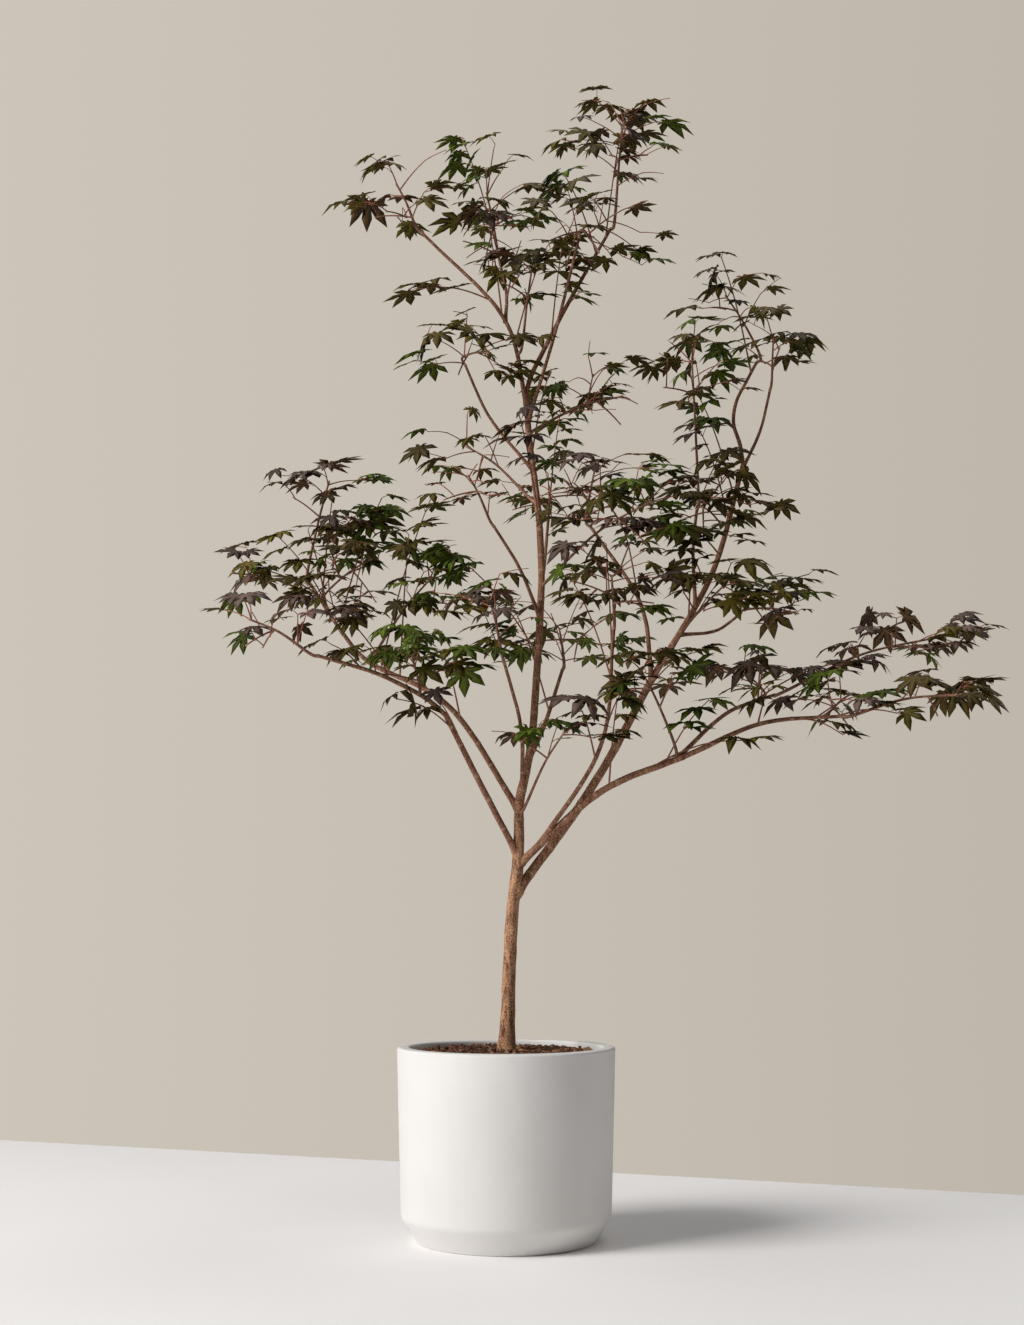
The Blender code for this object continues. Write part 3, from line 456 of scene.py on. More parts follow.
# The twigs: young red-brown shoots. One stem leaves each bough's tip or side for a space of its
# own in the crown, side twigs leave the stem, and shoots leave those by one seeded rule.
# Each mass: the limb that carries it, the share of that limb's length, the centre and half
# sizes of the space it keeps to, how many shoots it has, and its tint
MASSES = {
    "leaves_right_low_tip": ("right_low_end", 1.0, (0.685, -0.160, 0.865), (0.120, 0.110, 0.055), 9, "bronze"),
    "leaves_right_low_shelf": ("right_low_fork", 1.0, (0.690, -0.010, 0.975), (0.155, 0.120, 0.058), 13, "purple"),
    "leaves_right_low_mid": ("right_low_end", 0.90, (0.540, -0.110, 0.862), (0.100, 0.115, 0.078), 11, "green"),
    "leaves_right_low_inner": ("right_low_fork", 0.90, (0.425, 0.020, 0.915), (0.100, 0.120, 0.070), 11, "bronze"),
    "leaves_right_shelf": ("right_shelf_bough", 1.0, (0.485, 0.170, 1.065), (0.105, 0.115, 0.062), 8, "bronze"),
    "leaves_right_top_low": ("right_top_right", 1.0, (0.470, 0.040, 1.500), (0.095, 0.115, 0.075), 11, "bronze"),
    "leaves_right_top": ("right_top_left", 1.0, (0.415, 0.145, 1.625), (0.098, 0.105, 0.068), 10, "olive"),
    "leaves_right_mid_top": ("right_mid_stem", 1.0, (0.320, -0.040, 1.430), (0.100, 0.120, 0.105), 13, "bronze"),
    "leaves_centre_top": ("trunk", 0.935, (0.165, 0.030, 1.410), (0.115, 0.120, 0.095), 14, "green"),
    "leaves_centre_back": ("right_main_left", 1.0, (0.150, 0.080, 1.270), (0.130, 0.125, 0.085), 14, "bronze"),
    "leaves_centre_front": ("trunk", 0.700, (0.205, -0.175, 1.165), (0.130, 0.115, 0.095), 15, "purple"),
    "leaves_right_mid": ("right_mid_stem", 0.96, (0.345, -0.020, 1.205), (0.115, 0.125, 0.100), 15, "bronze"),
    "leaves_front_low": ("right_inner_stem", 1.0, (0.170, -0.200, 1.035), (0.130, 0.120, 0.085), 14, "bronze"),
    "leaves_right_inner": ("right_main_bough", 0.96, (0.350, -0.060, 1.050), (0.110, 0.125, 0.075), 12, "green"),
    "leaves_low_right": ("right_low_bough", 0.94, (0.230, -0.090, 0.905), (0.130, 0.115, 0.055), 12, "purple"),
    "leaves_front": ("front_stem", 1.0, (-0.020, -0.160, 1.000), (0.105, 0.120, 0.075), 11, "purple"),
    "leaves_left_mid": ("left_mid_stem", 1.0, (-0.050, -0.130, 1.215), (0.105, 0.110, 0.070), 10, "bronze"),
    "leaves_left_back": ("trunk", 0.830, (-0.055, 0.090, 1.335), (0.105, 0.115, 0.080), 10, "olive"),
    "leaves_left_high": ("left_high_stem", 1.0, (-0.055, -0.060, 1.470), (0.115, 0.100, 0.085), 10, "olive"),
    "leaves_left_end": ("left_bough_end", 0.78, (-0.275, 0.060, 1.110), (0.135, 0.155, 0.120), 21, "bronze"),
    "leaves_left_inner": ("left_bough", 0.97, (-0.150, 0.020, 1.070), (0.105, 0.125, 0.090), 13, "green"),
    "leaves_left_shelf": ("left_bough_end", 1.0, (-0.315, 0.050, 1.260), (0.120, 0.110, 0.042), 9, "purple"),
    "leaves_left_tip": ("left_bough_end", 0.90, (-0.440, 0.060, 1.105), (0.110, 0.105, 0.062), 9, "purple"),
    "leaves_left_low": ("left_low_end", 0.25, (-0.150, -0.120, 0.925), (0.125, 0.120, 0.070), 13, "green"),
    "leaves_left_low_tip": ("left_low_end", 1.0, (-0.380, -0.180, 0.975), (0.115, 0.120, 0.068), 11, "purple"),
    "leaves_top_left": ("top_left_bough", 1.0, (-0.175, -0.050, 1.745), (0.105, 0.105, 0.095), 11, "olive"),
    "leaves_top_mid": ("top_left_stem", 1.0, (-0.025, 0.030, 1.740), (0.110, 0.120, 0.150), 17, "bronze"),
    "leaves_top_low": ("top_left_bough", 0.25, (0.040, -0.075, 1.590), (0.095, 0.100, 0.065), 9, "bronze"),
    "leaves_top_front": ("top_front_stem", 1.0, (0.140, -0.070, 1.675), (0.135, 0.115, 0.100), 14, "bronze"),
    "leaves_top": ("top_right_bough", 1.0, (0.205, 0.040, 1.885), (0.105, 0.110, 0.125), 14, "olive"),
    "leaves_low_front": ("trunk", 0.360, (0.085, -0.115, 0.800), (0.120, 0.095, 0.048), 7, "green"),
    "leaves_back_low": ("back_low_bough", 1.0, (0.100, 0.270, 1.030), (0.160, 0.130, 0.090), 15, "green"),
    "leaves_back_high": ("back_high_bough", 1.0, (0.080, 0.240, 1.290), (0.140, 0.125, 0.090), 13, "bronze"),
}
SEED = 41
GAP = 0.0003

# The room that the rule keeps for a shoot's end: a round of five lobes that droops outwards
LEAF_LENGTH = 0.064
LEAF_DROOP = 0.30
LOBES = ((0, 1.0), (50, 0.90), (102, 0.66))
NOTCHES = ((25, 0.40), (76, 0.36))
STALK = 0.0009
STEM = 0.0038
TWIG = 0.0018
STEM_RUN = 0.016
LEAVES_PER_TWIG = 4
LEAF_ROOM = (0.040, 0.040, 0.020)
LEAF_LIFT = 0.016
CLEAR = 0.0030
SPACE_MARGIN = 0.03
SPACE_REACH = 1.32
TRIES = 40
ROUNDS = 26
LEAST_NOSE = radians(24)
LEAST_STALK = 0.016
BLADE_REACH = 0.075


def out_from(point, mass):
    """How far out points lie in a mass's space: 1 on its surface."""
    centre, half = MASSES[mass][2:4]
    return np.linalg.norm((np.asarray(point) - centre) / np.asarray(half), axis=-1)


def keeps_space(points, mass):
    """True where all the points lie in the mass's space, nearer to it than to any other."""
    measure = out_from(points, mass)
    if measure.max() > SPACE_REACH:
        return False
    others = (out_from(points, other) for other in MASSES if other != mass)
    return all((other > measure + SPACE_MARGIN).all() for other in others)


def dense_limbs(limbs):
    """Points 4 mm apart along every limb, with the limb's radius there."""
    points, sizes = [], []
    for line, radius in limbs.values():
        count = int(np.linalg.norm(np.diff(line, axis=0), axis=1).sum() / 0.004) + 2
        even = np.linspace(0, 1, count)
        run = np.linspace(0, 1, len(line))
        points.append(np.column_stack([np.interp(even, run, line[:, k]) for k in range(3)]))
        sizes.append(np.interp(even, run, radius))
    return np.vstack(points), np.concatenate(sizes)


def leaf_turn(head, nose, roll):
    """The turn of a leaf that heads one way, with its nose down and rolled to a side."""
    turn = Matrix.Rotation(head, 3, "Z") @ Matrix.Rotation(nose, 3, "Y") @ Matrix.Rotation(roll, 3, "X")
    return np.array(turn)


def leaf_corners():
    """The angles and reaches of the outline's nine points: lobes and notches in turn."""
    corners = {(side * angle, share) for angle, share in LOBES + NOTCHES for side in (1, -1)}
    angle, share = np.array(sorted(corners)).T
    return np.radians(angle), share * LEAF_LENGTH


def leaf_outline():
    """The outline's points, level at the stalk and drooping outwards."""
    angle, reach = leaf_corners()
    return np.column_stack((reach * np.cos(angle), reach * np.sin(angle), -LEAF_DROOP * reach**2 / LEAF_LENGTH))


def blade_meets(place, turn, points, radius):
    """True where any of some round points comes too near to a leaf's blade."""
    local = (points - place) @ turn
    flat = np.hypot(local[:, 0], local[:, 1])
    angle, reach = leaf_corners()
    rim = np.interp(np.arctan2(local[:, 1], local[:, 0]), angle, reach, period=2 * pi)
    height = local[:, 2] + LEAF_DROOP * rim * np.minimum(flat, rim) / LEAF_LENGTH
    return bool(((flat < rim + radius + CLEAR) & (np.abs(height) < radius + CLEAR)).any())


def samples(start, end, count=14):
    """Evenly spaced points from a start to an end."""
    return start + (end - start) * np.linspace(0, 1, count)[:, None]


def twig_meets(points, limb_points, limb_radius):
    """True where a twig's points come too near to a limb."""
    distance = np.linalg.norm(points[:, None] - limb_points, axis=2) - limb_radius
    return distance.min() < CLEAR


def stem_line(mass, limbs):
    """A mass's stem in three runs, out of its limb's tip or side, then on through the centre."""
    limb, share, centre, half = MASSES[mass][:4]
    centre = np.array(centre)
    line, radius = limbs[limb]
    base = along(line, share)
    way = heading(line, share)
    if share >= 1.0:
        foot = base + way * GAP
        first = foot + way * STEM_RUN
    else:
        aim = centre - base
        side = aim - (aim @ way) * way
        lean = side / np.linalg.norm(side) * 0.8 + way * 0.6
        skin = np.interp(share, np.linspace(0, 1, len(radius)), radius)
        foot = base
        first = base + lean * (skin + STEM_RUN)
    aim = centre - first
    far = centre + aim / np.linalg.norm(aim / half) * 0.4
    bend = first + (far - first) * 0.5 + np.array((0.0, 0.0, 0.06)) * np.linalg.norm(far - first)
    return [foot, first, bend, far]


def nearest_wood(place, wood):
    """Where on the stem and side twigs a new twig leaves, by the least way and the least bend."""
    best, least = None, np.inf
    for start, end in wood:
        run = end - start
        for share in (0.15, 0.4, 0.65, 0.9):
            joint = start + run * share
            way = place - joint
            length = np.linalg.norm(way)
            bend = 1 - way @ run / (length * np.linalg.norm(run))
            cost = length * (1 + 0.6 * bend)
            if LEAST_STALK < length and cost < least:
                best, least = joint, cost
    return best


def farthest(random, centre, room, taken):
    """Of some points drawn in a space, the one farthest from those taken before."""
    way = random.normal(size=(TRIES, 3))
    way /= np.linalg.norm(way, axis=1)[:, None]
    tries = centre + way * random.random((TRIES, 1))**0.3 * room
    spread = np.linalg.norm((tries[:, None] - np.array(taken)) * (1, 1, 1.6), axis=2).min(axis=1)
    return tries[np.argmax(spread)]


def leaf_points(place, blade, joint):
    """Points over a leaf and along its stalk, apart from the stalk's root."""
    shares = np.array((0.35, 0.6, 0.8, 1.0))[:, None, None]
    return np.vstack(((place + (blade - place) * shares).reshape(-1, 3), samples(joint, place)[6:]))


def meets_leaf(leaves, own):
    """True where a new leaf's own points meet one of the leaves that are near enough to matter."""
    if not leaves:
        return False
    reach = np.linalg.norm(np.array([leaf[0] for leaf in leaves])[:, None] - own, axis=2).min(axis=1)
    close = (leaves[i] for i in np.flatnonzero(reach < BLADE_REACH))
    return any(blade_meets(place, turn, own, STALK) for place, turn, _ in close)


def grow_mass(mass, number, stem, solids, near):
    """The side twigs and the shoots of one mass, clear of some solids' points and near leaves.

    Side twigs run from the stem to points drawn far from each other. Leaf places are then
    drawn one by one, each the farthest of some tries from those before it. Its shoot joins
    it to the nearest wood, and the leaf heads the shoot's way with its nose down. A twig or
    leaf that would leave the space, or touch a limb or another leaf, is skipped.
    """
    centre, half, count = (np.array(value) for value in MASSES[mass][2:5])
    random = np.random.default_rng(SEED + number)
    outline = leaf_outline()
    wood = list(zip(stem[1:], stem[2:]))
    twigs, taken = [], list(stem[1:])
    for _ in range(round(count / LEAVES_PER_TWIG) - 1):
        end = farthest(random, centre, half * 0.6, taken)
        joint = nearest_wood(end, wood)
        taken.append(end)
        if not twig_meets(samples(joint, end), *solids):
            twigs.append((joint, end))
            wood.append((joint, end))
    room = np.maximum(half - LEAF_ROOM, 0.010)
    blocks = with_points(solids, [samples(*run) for run in wood], TWIG)
    leaves, taken = [], [stem[0]]
    for _ in range(count * ROUNDS):
        if len(leaves) == count:
            break
        place = farthest(random, centre + (0, 0, LEAF_LIFT), room, taken)
        taken.append(place)
        joint = nearest_wood(place, wood)
        way = (place - joint) / np.linalg.norm(place - joint)
        head = atan2(way[1], way[0]) + random.normal(0, 0.15)
        nose = max(random.normal(0.2, 0.2), LEAST_NOSE - asin(way[2]))
        turn = leaf_turn(head, nose, random.normal(0, 0.2))
        blade = place + outline @ turn.T
        own = leaf_points(place, blade, joint)
        if not keeps_space(blade, mass) or blade_meets(place, turn, *blocks):
            continue
        if twig_meets(own, *solids) or meets_leaf(near + leaves, own):
            continue
        leaves.append((place, turn, joint))
        blocks = with_points(blocks, [own], STALK)
    return twigs, leaves, blocks


def with_points(solids, extra, radius):
    """Some points and radii, with more points of one radius."""
    points, sizes = solids
    extra = np.vstack(extra)
    return np.vstack((points, extra)), np.concatenate((sizes, np.full(len(extra), radius)))


def grow_masses(limbs):
    """The stem, twigs and leaves of every mass, each clear of the limbs, stems and masses before it."""
    stems = {mass: stem_line(mass, limbs) for mass in MASSES}
    runs = {mass: np.vstack([samples(*run) for run in zip(stem, stem[1:])]) for mass, stem in stems.items()}
    grown, limb_solids = {}, dense_limbs(limbs)
    done, all_leaves = [np.empty((0, 3))], []
    for number, mass in enumerate(MASSES):
        solids = with_points(limb_solids, [runs[other] for other in MASSES if other != mass], STEM)
        solids = with_points(solids, done, STALK)
        close = out_from(solids[0], mass) < 2.5
        solids = solids[0][close], solids[1][close]
        near = [leaf for leaf in all_leaves if out_from(leaf[0], mass) < 2.5]
        twigs, leaves, blocks = grow_mass(mass, number, stems[mass], solids, near)
        done.append(blocks[0][len(solids[0]):])
        all_leaves += leaves
        grown[mass] = stems[mass], twigs, leaves
    return grown


def shoot_finish():
    """Smooth young bark: red-brown, paler and swollen at each pair of leaves."""
    material, base, place = new_finish("young_bark", 0.60, 0.4)
    node = base.node("ShaderNodeAttribute", {"attribute_name": "scar"}, {}, "Fac")
    red = base.node("ShaderNodeAttribute", {"attribute_name": "red"}, {}, "Fac")
    cloud = place.noise(150.0, 3.0).between(0.35, 0.65)
    brown = cloud.mix((0.110, 0.045, 0.028), (0.270, 0.130, 0.075))
    ruddy = cloud.mix((0.190, 0.038, 0.022), (0.340, 0.095, 0.050))
    (node * 0.8).mix(red.mix(brown, ruddy), (0.52, 0.33, 0.21)).feed("Base Color")
    cloud.bump(0.2, 0.0004).feed("Normal")
    return material


def arched(starts, ends, rise, rings):
    """Paths from starts to ends that arch up by a share of their length: rise sin(pi t)."""
    t = np.linspace(0, 1, rings)[:, None]
    run = (ends - starts)[:, None]
    return starts[:, None] + run * t + np.linalg.norm(run, axis=2, keepdims=True) * rise * np.sin(pi * t) * (0, 0, 1)


def tapered(first, last, rings):
    """Radii from a first to a last value along each path, a little swollen at both ends."""
    t = np.linspace(0, 1, rings)
    first, last = np.asarray(first)[..., None], np.asarray(last)[..., None]
    return (first + (last - first) * t) * (1 + 0.25 * np.exp(-t / 0.05) + 0.30 * np.exp((t - 1) / 0.05))


def end_marks(count, rings, around):
    """A mark that is 1 at both ends of each path and fades within a tenth of it."""
    t = np.linspace(0, 1, rings)
    mark = np.exp(-t / 0.05) + np.exp((t - 1) / 0.05)
    return np.clip(np.tile(np.repeat(mark, around), count), 0, 1)


grown = grow_masses(limbs)
young_bark = shoot_finish()
stem_paths, stem_sizes = [], []
for mass, (stem, _, _) in grown.items():
    limb, share = MASSES[mass][:2]
    limb_radius = np.interp(share, np.linspace(0, 1, len(limbs[limb][1])), limbs[limb][1])
    stem_paths.append(smooth_line(stem, 60))
    stem_sizes.append(limb_radius if share >= 1.0 else min(limb_radius * 0.7, 0.0028))
side_twigs = np.array([twig for _, twigs, _ in grown.values() for twig in twigs])
shoots = np.array([(joint, place) for _, _, leaves in grown.values() for place, _, joint in leaves])
shoot_mass = [mass for mass, (_, _, leaves) in grown.items() for _ in leaves]

stem_points = carried(np.array(stem_paths), tapered(stem_sizes, np.full(len(stem_sizes), 0.0015), 60), 8)
twig_points = carried(arched(side_twigs[:, 0], side_twigs[:, 1], 0.04, 14),
                      tapered(np.full(len(side_twigs), 0.0017), np.full(len(side_twigs), 0.0011), 14), 6)
shoot_points = carried(arched(shoots[:, 0], shoots[:, 1], 0.05, 12),
                       tapered(np.full(len(shoots), 0.0012), np.full(len(shoots), 0.0008), 12), 6)
for name, points, red in (("stems", stem_points, 0.1), ("side_twigs", twig_points, 0.35), ("shoots", shoot_points, 0.7)):
    marks = {"scar": end_marks(*points.shape[:3]), "red": np.full(points[..., 0].size, red)}
    make_piece(name, points.reshape(-1, 3), tube_faces(*points.shape[:3]), young_bark, "bark", (), marks)

# The leaves: thin palmate blades of seven pointed lobes on red stalks. They stand in pairs at
# the end of each shoot and singly lower down, and droop from the stalk towards their tips.
BLADE_LENGTH = 0.045
BLADE_THICKNESS = 0.0007
LOBE_ANGLES = np.radians((-128, -84, -42, 0, 42, 84, 128))
LOBE_REACH = np.array((0.32, 0.74, 0.95, 1.0, 0.95, 0.74, 0.32))
NOTCH_ANGLES = np.radians((-180, -106, -63, -21, 21, 63, 106))
NOTCH_REACH = np.array((0.06, 0.20, 0.33, 0.37, 0.37, 0.33, 0.20))
SHOULDER_SHARE = 0.62
SHOULDER_ANGLE = radians(16.5)
TINTS = ("bronze", "purple", "olive", "green")
TINT_SHARE = {"bronze": 0.26, "purple": 0.22, "olive": 0.18, "green": 0.34}
OWN_TINT = 0.4
LOWER_LEAF = 0.50
TIP_TWIG = 0.68
LEAF_THERE = 0.74
TILTED = 0.22
LIGHT_LEAN = radians(13)
LIGHT_LEAN_AXIS = (0.8, -0.6, 0.0)


def blade_faces():
    """The faces of one blade: four to a lobe above and the same below, round a shared rim."""
    lobe = np.arange(7)
    notch, right, tip, left = (lobe * 4 + k for k in range(4))
    following = (lobe * 4 + 4) % 28
    rib, centre = 28 + lobe, np.full(7, 35)
    quads = np.vstack((np.stack((centre, notch, right, rib), axis=1), np.stack((centre, rib, left, following), axis=1)))
    points = np.vstack((np.stack((rib, right, tip), axis=1), np.stack((rib, tip, left), axis=1)))
    return [np.vstack([faces, np.where(faces >= 28, faces + 8, faces)[:, ::-1]]) for faces in (quads, points)]


def blade_template():
    """Each of a blade's 44 points: its lobe, angle, reach, lift off the middle, side and vein marks."""
    lobe = np.repeat(np.arange(7), 4)
    rim_angle = np.stack((NOTCH_ANGLES, LOBE_ANGLES - SHOULDER_ANGLE, LOBE_ANGLES, LOBE_ANGLES + SHOULDER_ANGLE), axis=1)
    shoulder = LOBE_REACH * SHOULDER_SHARE
    rim_reach = np.stack((NOTCH_REACH, shoulder, LOBE_REACH, shoulder), axis=1)
    rib = (np.append(LOBE_ANGLES, 0), np.append(LOBE_REACH * 0.5, 0))
    lobes = np.concatenate((lobe, np.arange(7), [3], np.arange(7), [3]))
    angle = np.concatenate((rim_angle.ravel(), rib[0], rib[0]))
    reach = np.concatenate((rim_reach.ravel(), rib[1], rib[1]))
    under = np.concatenate((np.full(28, 0.5), np.zeros(8), np.ones(8)))
    vein = np.concatenate((np.tile((0, 0, 1, 0), 7), np.ones(16)))
    fold = np.concatenate((np.tile((0.3, 1, 0, 1), 7), np.zeros(16)))
    return lobes, angle, reach, under, vein, fold


def make_blades(places, turned_ways, length, curl, random):
    """The points of many blades. A point at a reach r and an angle a of its blade lies at
    (r cos(k r / 2) cos a, r cos(k r / 2) sin a, -k r^2.3 / 2) lengths, where k is its curl."""
    lobes, angle, reach, under, vein, fold = blade_template()
    count = len(places)
    reach = reach * random.uniform(0.86, 1.08, (count, 7))[:, lobes]
    angle = angle + random.normal(0, 0.05, (count, 7))[:, lobes]
    curl = curl[:, None] * random.uniform(0.7, 1.3, (count, 7))[:, lobes]
    length = length[:, None]
    flat = length * reach * np.cos(curl * reach / 2)
    height = length * (0.03 * fold * random.normal(1, 0.6, (count, 1)) - curl * reach**2.3 / 2)
    height = height + BLADE_THICKNESS * (0.5 - under)
    local = np.stack((flat * np.cos(angle), flat * np.sin(angle), height), axis=2)
    return places[:, None] + np.einsum("nij,njk->nik", local, turned_ways)


def leaf_finish(tint, low, high, beneath, vein_colour, roughness):
    """A leaf's two faces: the upper in its tint, each leaf its own shade, the under face paler."""
    material, base, place = new_finish(tint + "_leaf", roughness, 0.18)
    shade, under, vein = (base.node("ShaderNodeAttribute", {"attribute_name": mark}, {}, "Fac")
                          for mark in ("shade", "under", "vein"))
    upper = (shade + place.noise(45.0) * 0.5 - 0.25).between(0.0, 1.0).mix(low, high)
    both = under.between(0.50, 0.53).mix(upper, beneath)
    (vein.between(0.86, 0.99) * 0.45).mix(both, vein_colour).feed("Base Color")
    (place.noise(420.0, 3.0) + vein.between(0.8, 1.0) * 0.6).bump(0.25, 0.0008).feed("Normal")
    return material


def new_leaves(random, nodes, heads, sides, lengths):
    """Leaf stalks and the ways of their blades: each stalk leaves its node to one side and
    rises a little, and the blade lies nearly level on its end, its face turned to the light."""
    count = len(nodes)
    spread = random.uniform(0.60, 1.05, count) * sides
    out = heads + spread
    rise = random.normal(0.25, 0.20, count)
    way = np.stack((np.cos(out) * np.cos(rise), np.sin(out) * np.cos(rise), np.sin(rise)), axis=1)
    places = nodes + way * (random.uniform(0.011, 0.022, count) * lengths / BLADE_LENGTH)[:, None]
    tilted = 1 + 2 * (random.random(count) < TILTED)
    nose = np.clip(random.normal(0.12, 0.14, count) * tilted, -0.2, 0.9)
    ways = turns(heads + spread * 0.9, nose, random.normal(0, 0.15, count) * tilted)
    lean = np.array(Matrix.Rotation(LIGHT_LEAN, 3, Vector(LIGHT_LEAN_AXIS)))
    return places, ways @ lean.T


# How full of leaves the masses are that stand looser than the others
OPEN_MASSES = {
    "leaves_top": 0.44,
    "leaves_top_mid": 0.52,
    "leaves_top_left": 0.46,
    "leaves_top_front": 0.52,
    "leaves_top_low": 1.00,
    "leaves_right_top": 0.28,
    "leaves_right_top_low": 1.00,
    "leaves_right_mid_top": 0.46,
    "leaves_right_shelf": 0.24,
    "leaves_right_low_inner": 0.80,
    "leaves_right_low_shelf": 0.74,
    "leaves_right_low_tip": 0.58,
    "leaves_low_right": 0.92,
    "leaves_centre_top": 0.38,
    "leaves_centre_front": 1.00,
    "leaves_centre_back": 0.56,
    "leaves_front": 0.25,
    "leaves_front_low": 0.82,
    "leaves_back_low": 0.50,
    "leaves_back_high": 0.55,
    "leaves_left_mid": 0.36,
    "leaves_left_back": 0.46,
    "leaves_left_high": 0.60,
    "leaves_left_inner": 0.52,
    "leaves_left_low_tip": 0.62,
}

# Loose shoots between the masses, each from a limb at a share of its length to its end
WISPS = (
    ("top_right_bough", 0.85, (0.105, 0.000, 1.815)),
    ("top_left_bough", 0.55, (-0.150, -0.050, 1.592)),
    ("top_right_bough", 0.30, (0.125, -0.050, 1.585)),
    ("trunk", 0.80, (0.020, -0.130, 1.350)),
    ("right_main_right", 0.75, (0.325, -0.060, 1.345)),
    ("right_main_right", 0.85, (0.335, 0.030, 1.430)),
    ("left_bough_end", 0.55, (-0.390, 0.000, 1.165)),
    ("left_bough", 0.85, (-0.165, -0.050, 1.160)),
    ("trunk", 0.60, (-0.100, -0.070, 1.130)),
    ("right_inner_stem", 0.90, (0.165, -0.115, 1.130)),
    ("right_main_right", 0.45, (0.305, 0.000, 1.150)),
    ("right_main_right", 0.30, (0.310, -0.080, 1.080)),
    ("left_low_bough", 0.90, (-0.175, -0.150, 0.868)),
    ("left_low_bough", 0.70, (-0.120, -0.130, 0.882)),
    ("right_inner_stem", 0.45, (0.115, -0.160, 0.862)),
    ("right_low_bough", 0.60, (0.180, -0.130, 0.868)),
    ("right_low_end", 0.50, (0.425, -0.140, 0.885)),
    ("right_low_end", 0.97, (0.630, -0.150, 0.845)),
    ("left_low_end", 0.70, (-0.285, -0.130, 0.960)),
    ("right_shelf_bough", 0.80, (0.530, 0.070, 1.115)),
    ("top_front_stem", 0.40, (0.100, 0.000, 1.700)),
    ("right_mid_stem", 0.90, (0.370, 0.000, 1.310)),
    ("left_bough_end", 0.80, (-0.300, 0.000, 1.235)),
    ("right_inner_stem", 0.80, (0.110, -0.100, 1.070)),
    ("right_low_end", 0.75, (0.545, -0.130, 0.812)),
    ("right_low_bough", 0.90, (0.330, -0.110, 0.870)),
    ("top_left_stem", 0.90, (-0.080, 0.000, 1.890)),
    ("top_right_bough", 0.95, (0.215, 0.040, 1.962)),
    ("top_left_bough", 0.45, (-0.030, -0.080, 1.690)),
    ("top_left_stem", 0.40, (0.025, -0.060, 1.675)),
    ("top_left_bough", 0.30, (0.070, -0.060, 1.665)),
    ("right_main_left", 0.50, (0.190, -0.100, 1.170)),
    ("right_main_left", 0.70, (0.240, -0.060, 1.185)),
    ("right_main_right", 0.60, (0.275, -0.120, 1.140)),
    ("right_low_fork", 0.85, (0.425, -0.060, 0.955)),
    ("right_low_end", 0.85, (0.600, -0.130, 0.880)),
    ("right_inner_stem", 0.55, (0.190, -0.130, 0.885)),
    ("left_bough_end", 0.90, (-0.478, 0.060, 1.125)),
    ("left_bough_end", 0.70, (-0.345, 0.030, 1.185)),
    ("left_bough", 0.50, (-0.105, -0.060, 0.955)),
    ("right_top_left", 0.90, (0.385, 0.060, 1.690)),
    ("left_bough_end", 0.50, (-0.215, 0.000, 1.235)),
    ("left_bough", 0.95, (-0.130, 0.000, 1.235)),
    ("right_low_fork", 0.80, (0.600, -0.050, 0.945)),
    ("right_low_bough", 0.80, (0.400, -0.110, 0.805)),
    ("left_bough", 0.90, (-0.335, 0.000, 1.075)),
    ("trunk", 0.45, (-0.050, -0.070, 1.050)),
    ("back_low_bough", 0.60, (0.000, 0.200, 1.100)),
    ("back_high_bough", 0.60, (0.100, 0.200, 1.450)),
    ("trunk", 0.90, (0.080, 0.120, 1.500)),
    ("right_main_bough", 0.90, (0.350, 0.220, 1.000)),
    ("left_bough", 0.70, (-0.200, 0.170, 1.000)),
)
WISP_STEP = 0.036
draw = np.random.default_rng(97)


def level_way(head, rise):
    """The way of things that head one way and rise by an angle."""
    return np.stack((np.cos(head) * np.cos(rise), np.sin(head) * np.cos(rise), np.sin(rise)), axis=-1)


shoot_way = shoots[:, 1] - shoots[:, 0]
shoot_count = len(shoots)
outward = shoots[:, 1] - np.array([MASSES[mass][2] for mass in shoot_mass])
flat_way = shoot_way[:, :2] / np.linalg.norm(shoot_way[:, :2], axis=1)[:, None]
flat_way = flat_way + outward[:, :2] / np.linalg.norm(outward[:, :2], axis=1)[:, None]
tip_head = np.arctan2(flat_way[:, 1], flat_way[:, 0]) + draw.normal(0, 0.35, shoot_count)
tips = shoots[:, 1] + (level_way(tip_head, draw.normal(0.04, 0.14, shoot_count))
                       * draw.uniform(0.026, 0.052, shoot_count)[:, None])
has_tip = (draw.random(shoot_count) < TIP_TWIG) & np.array(
    [out_from(tip, mass) < SPACE_REACH for tip, mass in zip(tips, shoot_mass)])
wisp_starts = np.array([along(limbs[limb][0], share) for limb, share, _ in WISPS])
wisps = arched(wisp_starts, np.array([end for *_, end in WISPS]), 0.09, 24)

# Where leaves stand: their nodes, which way the twig heads there, the leaf's side and its spray
nodes, heads, sides, owners, sizes = [], [], [], [], []


def add_leaves(node, head, side, owner, size):
    """Note a set of leaves at their nodes."""
    for kept_list, values in ((nodes, node), (heads, head), (sides, side), (owners, owner), (sizes, size)):
        kept_list.append(np.broadcast_to(values, np.shape(node) if values is node else len(node)))


